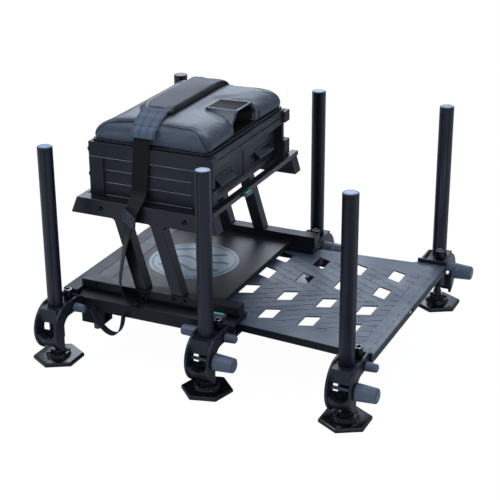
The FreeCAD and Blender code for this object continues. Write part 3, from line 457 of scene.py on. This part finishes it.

# Its top plate is a shallow matt dish inside the glossy rim, and its inside is matt too. Both are coloured
# near black: painted shade inside the mouth, and a painted dark reflection on the dish.
handle_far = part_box("lift_handle")[1]
handle_rim, dish_depth, mouth_wall, mouth_across = 5.0, 1.0, 6.0, 90.0
bm = bmesh.new()
bm.from_mesh(handle.data)
top_faces = [f for f in bm.faces if f.normal.z > 0.9 and f.calc_center_median().z > handle_far.z - 4 * MM]
bmesh.ops.inset_region(bm, faces=top_faces, thickness=handle_rim * MM, use_even_offset=True)
bmesh.ops.inset_region(bm, faces=top_faces, thickness=dish_depth * MM, depth=-dish_depth * MM,
                       use_even_offset=True)
# Faces deep in the mouth, faces that look across at another wall of the handle, and the dish take the
# near-black ABS as painted shade and painted reflection.
for face in bm.faces:
    centre = face.calc_center_median()
    deep = face.normal.x > 0.3 and centre.x < handle_far.x - mouth_wall * MM
    facing = handle_skin.ray_cast(centre + face.normal * 0.5 * MM, face.normal, mouth_across * MM)[0]
    if deep or facing or face in top_faces:
        face.material_index = 1
bm.to_mesh(handle.data)
bm.free()
handle.data.set_sharp_from_angle(angle=math.radians(35))
handle.data.materials.append(handle_painted_dark)


# Cushion: foam on the lid board under a cover of grained vinyl, with a panel of air mesh let
# into each side and a seam piped round it. The cover is filled by a short cloth simulation.
def settle(piece):
    """Replaces a piece's mesh by what its modifiers make of it, and clears them."""
    graph = bpy.context.evaluated_depsgraph_get()
    mesh = bpy.data.meshes.new_from_object(piece.evaluated_get(graph), depsgraph=graph)
    piece.modifiers.clear()
    piece.data = mesh


fill_pressure, fill_frames = 4.0, 20


def puffed(name, bm, voxel, cap, held):
    """A cover filled with foam: held gives each point's share, from 0 to 1, that is fixed."""
    mesh = bpy.data.meshes.new(name)
    bm.to_mesh(mesh)
    bm.free()
    piece = bpy.data.objects.new(name, mesh)
    bpy.context.scene.collection.objects.link(piece)
    remesh = piece.modifiers.new("even", "REMESH")
    remesh.mode = "VOXEL"
    remesh.voxel_size = voxel * MM
    settle(piece)
    start = [v.co.copy() for v in piece.data.vertices]
    group = piece.vertex_groups.new(name="held")
    for vertex in piece.data.vertices:
        group.add([vertex.index], held(vertex.co), "REPLACE")
    cloth = piece.modifiers.new("fill", "CLOTH")
    cloth.settings.use_pressure = True
    cloth.settings.uniform_pressure_force = fill_pressure
    cloth.settings.effector_weights.gravity = 0.0
    cloth.settings.vertex_group_mass = "held"
    for moment in range(1, fill_frames + 1):
        bpy.context.scene.frame_set(moment)
    settle(piece)
    bpy.context.scene.frame_set(1)
    for vertex, place in zip(piece.data.vertices, start):
        shift = vertex.co - place
        if shift.length > cap * MM:
            vertex.co = place + shift.normalized() * cap * MM
    finer = piece.modifiers.new("finer", "SUBSURF")
    finer.levels = finer.render_levels = 1
    settle(piece)
    piece.data.polygons.foreach_set("use_smooth", [True] * len(piece.data.polygons))
    return piece


cushion_low, cushion_high = (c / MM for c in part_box("seat_cushion"))
seam_rear, seam_front = cushion_low.x + 4.0, cushion_high.x - 5.0
seam_top, seam_corner, seam_fall = 569.0, 50.0, 6.0
staple_high, hold_near, hold_fade, side_reach = 3.0, 7.0, 18.0, 34.0


def seam_distance(x, z):
    """How far a point of the side, in millimetres, lies outside the side panel's outline."""
    fall = seam_fall * max(0.0, (-200.0 - x) / 140.0)
    across = abs(x - (seam_rear + seam_front) / 2) - (seam_front - seam_rear) / 2 + seam_corner
    rise = z + fall - seam_top + seam_corner
    return math.hypot(max(across, 0), max(rise, 0)) + min(max(across, rise), 0) - seam_corner


def cushion_hold(point):
    """The cover is stapled under the board and round the handle, and free elsewhere."""
    if point.z < (cushion_low.z + staple_high) * MM:
        return 1.0
    gap = handle_skin.find_nearest(point)[3] / MM
    return min(1.0, max(0.0, 1 - (gap - hold_near) / hold_fade))


bm = solid_of("seat_cushion")
bmesh.ops.triangulate(bm, faces=bm.faces)
cushion = puffed("seat_cushion_cover", bm, 5.0, 5.0, cushion_hold)
tallest = max(v.co.z for v in cushion.data.vertices)
bottom = cushion_low.z * MM
squeeze = (cushion_high.z * MM - bottom) / (tallest - bottom)
side_of = cushion.data.attributes.new("side_panel", "FLOAT", "POINT")
press_depth, press_width = 1.3, 3.6
for vertex in cushion.data.vertices:
    vertex.co.z = bottom + (vertex.co.z - bottom) * squeeze
    x, y, z = vertex.co / MM
    distance = seam_distance(x, z) if abs(y) > cushion_high.y - side_reach else 99.0
    side_of.data[vertex.index].value = distance
    dent = press_depth * math.exp(-(distance / press_width) ** 2)
    vertex.co.y -= math.copysign(0.8 * dent * MM, y)
    vertex.co.z -= 0.6 * dent * MM
cushion.data.materials.clear()
vinyl, tree, shader = plain("grained_vinyl", Roughness=0.42, Sheen_Weight=0.12, Sheen_Roughness=0.5)
where = add(tree, "TexCoord").outputs["Object"]
grain = add(tree, "TexVoronoi", {"Vector": where, "Scale": 1 / (1.1 * MM)})
crease = add(tree, "TexNoise", {"Vector": where, "Scale": 1 / (26 * MM), "Detail": 3.0})
vinyl_bump = add(tree, "Bump", {"Height": grain.outputs[0], "Distance": 0.10 * MM, "Strength": 0.5})
vinyl_bump = add(tree, "Bump", {"Height": crease.outputs[0], "Distance": 1.6 * MM, "Strength": 0.35,
                                "Normal": vinyl_bump.outputs[0]})
# The vinyl's tone follows the noise of its wrinkles, darker in their dips and lighter on their crowns: partly
# random tone, partly painted shade in the creases.
vinyl_tone_and_crease_shade = add(tree, "Mix", {0: crease.outputs[0], 6: linear("#2d3643"), 7: linear("#3d4755")},
                  data_type="RGBA")
mesh_pitch, wave_unit = 4.4, 0.314159
slanted = add(tree, "Mapping", {"Vector": where, "Rotation": (0, math.radians(45), 0)})
weft = add(tree, "TexWave", {"Vector": slanted.outputs[0], "Scale": wave_unit / (mesh_pitch * MM)},
           bands_direction="X")
warp = add(tree, "TexWave", {"Vector": slanted.outputs[0], "Scale": wave_unit / (mesh_pitch * MM)},
           bands_direction="Z")
cells = add(tree, "Math", {0: weft.outputs[1], 1: warp.outputs[1]}, operation="MULTIPLY")
mesh_bump = add(tree, "Bump", {"Height": cells.outputs[0], "Distance": 0.9 * MM, "Strength": 0.9})
mesh_shade = add(tree, "Mix", {0: cells.outputs[0], 6: linear("#525c6b"), 7: linear("#14171d")},
                 data_type="RGBA")
panel = add(tree, "Attribute", attribute_name="side_panel")
inside = add(tree, "Math", {0: panel.outputs["Fac"], 1: 0.0}, operation="LESS_THAN")
shade = add(tree, "Mix", {0: inside.outputs[0], 6: vinyl_tone_and_crease_shade.outputs[2], 7: mesh_shade.outputs[2]},
            data_type="RGBA")
relief = add(tree, "Mix", {0: inside.outputs[0], 4: vinyl_bump.outputs[0], 5: mesh_bump.outputs[0]},
             data_type="VECTOR")
rough = add(tree, "MapRange", {"Value": inside.outputs[0], "To Min": 0.42, "To Max": 0.66})
tree.links.new(shade.outputs[2], shader.inputs["Base Color"])
tree.links.new(relief.outputs[1], shader.inputs["Normal"])
tree.links.new(rough.outputs[0], shader.inputs["Roughness"])
cushion.data.materials.append(vinyl)
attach(cushion, "lid")
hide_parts("seat_cushion")
cushion_skin = BVHTree.FromPolygons([v.co for v in cushion.data.vertices],
                                    [p.vertices for p in cushion.data.polygons])


def cord_line(name, points, radius, material, node):
    """A thin round cord sewn along points, in metres."""
    line = bpy.data.curves.new(name, "CURVE")
    line.dimensions = "3D"
    line.bevel_depth = radius * MM
    line.bevel_resolution = 2
    line.resolution_u = 3
    spline = line.splines.new("NURBS")
    spline.points.add(len(points) - 1)
    for target, point in zip(spline.points, points):
        target.co = (*point, 1.0)
    spline.order_u = 3
    spline.use_endpoint_u = True
    line.materials.append(material)
    piece = bpy.data.objects.new(name, line)
    bpy.context.scene.collection.objects.link(piece)
    settled = bpy.data.meshes.new_from_object(piece.evaluated_get(bpy.context.evaluated_depsgraph_get()))
    bpy.data.objects.remove(piece)
    bm = bmesh.new()
    bm.from_mesh(settled)
    bmesh.ops.holes_fill(bm, edges=[e for e in bm.edges if e.is_boundary])
    bmesh.ops.recalc_face_normals(bm, faces=bm.faces)
    return put(name, bm, material, node, 60)


# The side seams: a black thread piping sewn where the vinyl meets the air mesh.
seam_thread = coat("bonded_thread_black", "#101216", 0.55, 0.9, 0.08)
seam_steps, seam_cord, seam_search = 46, 1.3, 260.0
for side, name in ((-1, "right"), (1, "left")):
    points = []
    for i in range(seam_steps + 1):
        turn = math.pi * i / seam_steps
        low, high = 0.0, seam_search
        for _ in range(24):
            reach = (low + high) / 2
            x = (seam_rear + seam_front) / 2 - reach * math.cos(turn)
            z = cushion_low.z + 1 + reach * math.sin(turn)
            if seam_distance(x, z) < 0:
                low = reach
            else:
                high = reach
        hit = cushion_skin.ray_cast(Vector((x * MM, side * 0.3, z * MM)), Vector((0, -side, 0)))[0]
        if hit:
            points.append(hit + Vector((0, side * 0.5, 0.4)) * MM)
    cord_line("cushion_seam_" + name, points, seam_cord, seam_thread, "lid_panel")


# Shoulder pad: a neoprene sleeve over foam that lies across the seat, filled by the same
# short simulation, draped on the cushion and gathered along its front edge.
neoprene = coat("ribbed_neoprene", "#1e242f", 0.60, 1.5, 0.16, 0.05, 0.10, Sheen_Weight=0.15,
                Sheen_Roughness=0.5)
gathered = coat("elastic_binding_black", "#0d0e11", 0.60, 1.2, 0.14)
pad_x0, pad_x1, pad_y0, pad_y1 = -267.0, -164.0, -137.0, 190.0
pad_low, pad_high = cushion_high.z + 0.3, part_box("shoulder_pad")[1].z / MM
pad_corner, pad_rim, binding_wide = 22.0, 3.5, 12.0
bm = bmesh.new()
bar(bm, (pad_x0 + 2, pad_y0 + 2, pad_low + 0.5), (pad_x1 - 2, pad_y1 - 2, pad_high - 1.5))
upright = [e for e in bm.edges if abs(e.verts[0].co.z - e.verts[1].co.z) > 1 * MM]
bmesh.ops.bevel(bm, geom=upright, offset=pad_corner * MM, affect="EDGES", segments=6, profile=0.5,
                material=-1)
rims = [e for e in bm.edges if e.calc_face_angle(0) > 1.0 and abs(e.verts[0].co.z - e.verts[1].co.z) < 1 * MM]
bmesh.ops.bevel(bm, geom=rims, offset=pad_rim * MM, affect="EDGES", segments=3, profile=0.5, material=-1)


def pad_hold(point):
    """The pad is free all over, but for its underside, which is pressed on the seat."""
    return 0.6 if point.z < (pad_low + 2) * MM else 0.0


pad = puffed("shoulder_pad_cover", bm, 4.0, 3.0, pad_hold)
gather_pitch, gather_depth, gather_width = 10.0, 2.0, 15.0
neck_start, neck_length, neck_share = -92.0, 45.0, 0.22
tallest = max(v.co.z for v in pad.data.vertices)


def seat_at(x, y):
    """The height of the cushion under a point, in metres."""
    hit = cushion_skin.ray_cast(Vector((x, y, 0.7)), Vector((0, 0, -1)))[0]
    return hit.z if hit else cushion_high.z * MM


for vertex in pad.data.vertices:
    x, y, z = vertex.co
    lift = seat_at(x, y) - cushion_high.z * MM
    near_front = min(1.0, max(0.0, (x / MM - pad_x1 + gather_width) / gather_width))
    neck = max(0.0, (neck_start - y / MM) / neck_length)
    vertex.co.x += (pad_x1 * MM - x) * neck_share * neck * neck
    ripple = math.sin(2 * math.pi * y / (gather_pitch * MM)) * gather_depth * near_front
    vertex.co.x += ripple * MM
    vertex.co.z += lift + 0.5 * ripple * MM - max(0.0, tallest - pad_high * MM) * near_front
pad.data.materials.clear()
pad.data.materials.append(neoprene)
pad.data.materials.append(gathered)
for face in pad.data.polygons:
    if face.center.x > (pad_x1 - binding_wide) * MM:
        face.material_index = 1
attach(pad, "lid")
pad_skin = BVHTree.FromPolygons([v.co for v in pad.data.vertices], [p.vertices for p in pad.data.polygons])

# The pad's piping: a pale reflective cord along its rear edge, which bends in at the near
# end where the sleeve narrows.
piping_cord = coat("reflective_piping", "#b4b8c0", 0.35, 1.0, 0.05)
piping_route = [(-252, 182), (-252, 120), (-252, 60), (-252, 0), (-252, -40), (-251, -70), (-248, -92),
                (-243, -108), (-238, -118), (-230, -127)]
points = []
for x, y in piping_route:
    hit = pad_skin.ray_cast(Vector((x * MM, y * MM, 0.7)), Vector((0, 0, -1)))[0]
    if hit:
        points.append(hit + Vector((0, 0, 0.3 * MM)))
cord_line("pad_piping", points, 1.0, piping_cord, "shoulder_pad")


# Pad tabs: tapered ends of doubled polyester, sewn to the pad and down over the seat's side,
# with four rows of black stitching. The webbing comes out from under them.
def ribbon(name, stations, thick, material, node):
    """A flat band: each station is a middle point, a width and a direction across, in millimetres."""
    strands, rows = 6, len(stations) - 1
    bm = bmesh.new()
    uv = bm.loops.layers.uv.new("band")
    bmesh.ops.create_grid(bm, x_segments=strands, y_segments=rows, size=0.5)
    length = [0.0]
    for before, after in zip(stations, stations[1:]):
        length.append(length[-1] + (Vector(after[0]) - Vector(before[0])).length * MM)
    flat = {}
    for vertex in bm.verts:
        share, row = vertex.co.x, round((vertex.co.y + 0.5) * rows)
        middle, width, across = stations[row]
        vertex.co = (Vector(middle) + Vector(across).normalized() * width * share) * MM
        flat[vertex] = (share * width * MM, length[row])
    for face in bm.faces:
        for corner in face.loops:
            corner[uv].uv = flat[corner.vert]
    piece = put(name, bm, material, node, 60)
    smooth = piece.modifiers.new("smooth", "SUBSURF")
    smooth.levels = smooth.render_levels = 2
    wall = piece.modifiers.new("thickness", "SOLIDIFY")
    wall.thickness = thick * MM
    wall.offset = 0.0
    return piece


def woven(name, colour, edge_colour, width, rib=1.2, depth=0.15):
    """Flat polyester webbing: fine ribs along it and across it, in its own flat coordinates."""
    material, tree, shader = plain(name, Roughness=0.65, Sheen_Weight=0.06, Sheen_Roughness=0.4,
                                   Specular_IOR_Level=0.3)
    flat = add(tree, "UVMap", uv_map="band").outputs[0]
    ribs = add(tree, "TexWave", {"Vector": flat, "Scale": wave_unit / (rib * MM)}, bands_direction="X")
    picks = add(tree, "TexWave", {"Vector": flat, "Scale": wave_unit / (1.2 * rib * MM)}, bands_direction="Y")
    weave = add(tree, "Math", {0: ribs.outputs[1], 1: picks.outputs[1]}, operation="MULTIPLY")
    bump = add(tree, "Bump", {"Height": weave.outputs[0], "Distance": depth * MM, "Strength": 0.8})
    tree.links.new(bump.outputs[0], shader.inputs["Normal"])
    spread = add(tree, "SeparateXYZ", {0: flat})
    off = add(tree, "Math", {0: spread.outputs["X"]}, operation="ABSOLUTE")
    selvedge = add(tree, "Math", {0: off.outputs[0], 1: (width / 2 - 2.5) * MM}, operation="GREATER_THAN")
    mixed = add(tree, "Math", {0: weave.outputs[0], 1: 0.5, 2: selvedge.outputs[0]}, operation="MULTIPLY_ADD",
                use_clamp=True)
    shade = add(tree, "Mix", {0: mixed.outputs[0], 6: linear(colour), 7: linear(edge_colour)},
                data_type="RGBA")
    tree.links.new(shade.outputs[2], shader.inputs["Base Color"])
    return material


def side_at(x, z, side):
    """How far out the cushion's side is at a height, in millimetres."""
    hit = cushion_skin.ray_cast(Vector((x * MM, side * 0.3, z * MM)), Vector((0, -side, 0)))[0]
    return abs(hit.y) / MM if hit else cushion_high.y


doubled_cloth = woven("doubled_polyester", "#566070", "#647080", 200)
stitching = coat("polyester_thread_black", "#15181e", 0.5, 0.8, 0.06)
tab_thick, tab_width = 3.4, (70.0, 60.0)
pad_thick = pad_high - cushion_high.z
tab_top, tab_foot = (-211.0, -194.0), 545.0
for side, name in ((-1, "right"), (1, "left")):
    pad_end = -pad_y0 if side < 0 else pad_y1
    stations = []
    rises = [(pad_end - 12, pad_thick - 1.5), (pad_end - 4, pad_thick - 3.5), (pad_end + 4, 5.5)]
    rises += [(y, 4.0) for y in (150.0, 162.0, 174.0, 186.0, 196.0) if y > pad_end + 9]
    profile = [(y, seat_at(-0.210, side * y * MM) / MM + rise) for y, rise in rises]
    profile += [(side_at(-205.0, 566.0, side) + 4.6, 566.0), (212.6, 560.0), (215.4, 553.0),
                (219.0, tab_foot)]
    for i, (y, z) in enumerate(profile):
        share = i / (len(profile) - 1)
        x = tab_top[0] + share * (tab_top[1] - tab_top[0])
        width = tab_width[0] + share * (tab_width[1] - tab_width[0])
        stations.append(((x, side * y, z), width, (1, 0, 0)))
    ribbon("pad_tab_" + name, stations, tab_thick, doubled_cloth, "shoulder_pad")
    for number, place in enumerate((-0.44, -0.16, 0.16, 0.44)):
        points = []
        for middle, width, _ in stations[1:]:
            out = Vector((0, side, 1)).normalized() * (tab_thick / 2 + 0.1)
            points.append((Vector(middle) + Vector((place * width, 0, 0)) + out) * MM)
        cord_line("tab_stitch_%s_%d" % (name, number), points, 0.55, stitching, "shoulder_pad")
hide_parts("shoulder_pad")


# Strap webbing: 42 mm black polyester, from under each tab down the box and over the beam to
# its buckle. Below that it hangs, half turned, and curls on to the ledge of the rail.
webbing = woven("polyester_webbing_black", "#050609", "#0a0c10", 42)
web_thick, web_wide = 2.2, 42.0
hang = [(-195.5, 556.0, 210.8, 0), (-197.0, 548.0, 213.6, 0), (-198.5, 540.0, 215.8, 0),
        (-199.5, 530.0, 217.2, 0), (-200.0, 519.0, 217.5, 0), (-204.0, 480.0, 217.5, 0),
        (-208.0, 440.0, 217.5, 2), (-209.0, 416.0, 218.0, 5), (-208.5, 402.0, 227.0, 8),
        (-208.5, 392.5, 243.5, 10), (-209.0, 384.0, 251.5, 18), (-212.0, 374.0, 254.5, 27),
        (-214.5, 362.0, 255.5, 31), (-217.0, 348.0, 256.5, 34), (-221.0, 325.0, 260.0, 44),
        (-226.0, 296.0, 264.5, 52), (-232.0, 265.0, 267.0, 54), (-238.0, 235.0, 267.5, 55),
        (-242.0, 208.0, 268.0, 55), (-243.0, 184.0, 268.0, 54), (-238.0, 166.0, 268.0, 54),
        (-226.0, 156.5, 268.0, 55), (-212.0, 154.0, 268.0, 58), (-198.0, 154.5, 268.0, 62)]
for side, name in ((-1, "right"), (1, "left")):
    stations = []
    for x, z, y, turn in hang:
        across = (math.cos(math.radians(turn)), side * math.sin(math.radians(turn)), 0)
        stations.append(((x, side * y, z), web_wide, across))
    web = ribbon("strap_webbing_" + name, stations, web_thick, webbing, "strap_webbing")
    settle(web)
    web.parent = None
    web.matrix_world = Matrix.Identity(4)
    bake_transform(web)
    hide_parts("strap_webbing")

# Strap rings: a black steel ring at each strut's foot, which the webbing is hooked to.
ring_radius, wire_radius = 9.0, 1.7
ring_x, ring_y, ring_z = -190.0, 256.0, 161.0
bm = bmesh.new()
for side in (-1, 1):
    centre = Vector((ring_x, side * ring_y, ring_z)) * MM
    circle = bmesh.ops.create_circle(bm, segments=12, radius=wire_radius * MM,
                                     matrix=Matrix.Translation(centre + Vector((ring_radius * MM, 0, 0))))
    loop = circle["verts"]
    bmesh.ops.spin(bm, geom=loop + list({e for v in loop for e in v.link_edges}), cent=centre, axis=(0, 1, 0),
                   angle=2 * math.pi, steps=28, use_merge=True)
bmesh.ops.recalc_face_normals(bm, faces=bm.faces)
put("strap_rings", bm, black_oxide, "strap_webbing", 60)

# Buckles: moulded slides on the webbing, turned with it, with four bars across the face and the
# band threaded between them. They are a shade lighter than the black webbing, a painted highlight for the
# light on their bars.
buckle_painted_highlight = coat("acetal_buckle", "#373d48", 0.34, 1.2, 0.03)
buckle_half, buckle_rise, buckle_deep = 25.0, 14.0, 7.0
buckle_tilt, buckle_turn = math.radians(12), math.radians(31)
buckle_bars, bar_half, cheek_wide = (-12.5, -4.2, 4.2, 12.5), 2.4, 4.5
buckle_x, buckle_y, buckle_z = -215.5, 258.5, 359.0
bm = bmesh.new()
for side in (-1, 1):
    before = set(bm.verts)
    for z in buckle_bars:
        bar(bm, (-buckle_half, -buckle_deep / 2, z - bar_half), (buckle_half, buckle_deep / 2, z + bar_half))
    for x in (-buckle_half, buckle_half - cheek_wide):
        bar(bm, (x, -buckle_deep / 2, -buckle_rise), (x + cheek_wide, buckle_deep / 2 - 0.8, buckle_rise))
    fresh = [v for v in bm.verts if v not in before]
    turn = Matrix.Rotation(side * buckle_turn, 4, "Z") @ Matrix.Rotation(buckle_tilt, 4, "Y")
    turn = Matrix.Translation(Vector((buckle_x, side * buckle_y, buckle_z)) * MM) @ turn
    bmesh.ops.transform(bm, matrix=turn, verts=fresh)
bmesh.ops.bevel(bm, geom=bm.edges[:], offset=1.1 * MM, affect="EDGES", segments=2, profile=0.5, material=-1)
buckles = put("strap_buckles_moulded", bm, buckle_painted_highlight, "strap_buckles")
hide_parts("strap_buckles")

# Spare webbing: a narrow loop that hangs under the rear of the right rail.
narrow = woven("polyester_webbing_narrow", "#22242a", "#363a42", 20)
tail_route = [(-315.0, 121.5), (-309.0, 106.0), (-300.0, 90.0), (-288.0, 76.0), (-274.0, 66.5),
              (-260.0, 63.5), (-248.0, 68.5), (-238.0, 82.0), (-232.5, 100.0), (-230.0, 121.5)]
tail_y, tail_wide = 280.8, 19.0
stations = [((x, -tail_y, z), tail_wide, (0, -1, 0)) for x, z in tail_route]
tail = ribbon("strap_tail_loop", stations, web_thick, narrow, "strap_tail")
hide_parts("strap_tail")


# Footplate: a pressed aluminium tray with slanted grip holes, in grey textured coat. Rows of
# small tread bars are pressed up between the holes, and dashes mark its cross folds.
plate_coat = coat("textured_coat_grey", "#4b5563", 0.44, 1.6, 0.12, 0.08, 0.14)
plate = eased("footplate", plate_coat, 1.1)
plate_top, skirt_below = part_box("footplate")[1].z / MM, 4.0
# The skirt and the grip holes' walls, below the top face, take the black powder coat: painted shade on faces
# that turn away from the light.
plate.data.materials.append(powder)
for face in plate.data.polygons:
    if face.center.z < (plate_top - skirt_below) * MM:
        face.material_index = 1
hole_columns, hole_rows = (-5.0, 96.0, 197.0, 298.0), (54.0, 162.0)
hole_wide, hole_long, hole_slant = 35.0, 66.0, 13.0
tread_long, tread_wide, tread_high, tread_pitch_x, tread_pitch_y = 25.0, 1.5, 0.7, 50.5, 15.0
tread_rear, tread_front, tread_half, clear = -90.0, 340.0, 195.0, 5.0


def blocked(x, y):
    """Whether a point of the plate's top is in a grip hole or too close to one."""
    for column in hole_columns:
        for row in hole_rows:
            lean = hole_slant * (x - column) / hole_wide
            off = abs(abs(y) - row + lean)
            if abs(x - column) < hole_wide / 2 + clear and off < (hole_long - hole_slant) / 2 + clear:
                return True
    return False


bm = bmesh.new()
slope = math.atan2(hole_slant, hole_wide)
rows = int(tread_half / tread_pitch_y)
for column in range(int((tread_front - tread_rear) / tread_pitch_x) + 1):
    for row in range(-rows, rows + 1):
        x = tread_rear + column * tread_pitch_x + (tread_pitch_x / 2 if row % 2 else 0)
        y = (row + 0.5) * tread_pitch_y
        lean = -slope if y > 0 else slope
        reach = Vector((math.cos(lean), math.sin(lean))) * tread_long / 2
        spots = [(x + share * reach.x, y + share * reach.y) for share in (-1, -0.5, 0, 0.5, 1)]
        if abs(y) > tread_half or any(blocked(*spot) for spot in spots):
            continue
        place = Matrix.Translation(Vector((x, y, plate_top + tread_high / 2 - 0.1)) * MM)
        spread = Matrix.Diagonal((tread_long * MM, tread_wide * MM, tread_high * MM, 1))
        bmesh.ops.create_cube(bm, size=1, matrix=place @ Matrix.Rotation(lean, 4, "Z") @ spread)
fold_ahead, front_fold, fold_reach, front_fold_reach = 50.5, 376.0, 186.0, 240.0
dash_pitch, dash_half_long, dash_half_wide = 38.0, 9.0, 0.7
for x in [column + fold_ahead for column in hole_columns] + [front_fold]:
    reach_y = fold_reach if x < tread_front else front_fold_reach
    for i in range(int(2 * reach_y / dash_pitch) + 1):
        y = -reach_y + i * dash_pitch
        bar(bm, (x - dash_half_wide, y - dash_half_long, plate_top - 0.1),
            (x + dash_half_wide, y + dash_half_long, plate_top + tread_high))
bmesh.ops.bevel(bm, geom=bm.edges[:], offset=0.3 * MM, affect="EDGES", segments=1, profile=0.5, material=-1)
put("plate_treads", bm, plate_coat, "footplate")


# Small fittings: a moulded accessory socket with its thumb screw under the right rail, and
# two spirit levels, each an acrylic vial of green liquid in a black housing.
eased("accessory_socket", cast_powder, 1.2)
eased("socket_screw", glass_nylon, 0.8)
eased("spirit_levels", glass_nylon, 0.6)
# The vials' faint green emission is a painted glow for the light that shines through the liquid.
vial_with_painted_glow = coat("acrylic_vial_green", "#4fb585", 0.12, 3.0, 0.01, 0.02, 0.20, Emission_Strength=0.12,
                  Emission_Color=linear("#4fb585"))
eased("level_vials", vial_with_painted_glow, 0.6)

low, high = cad_bounds
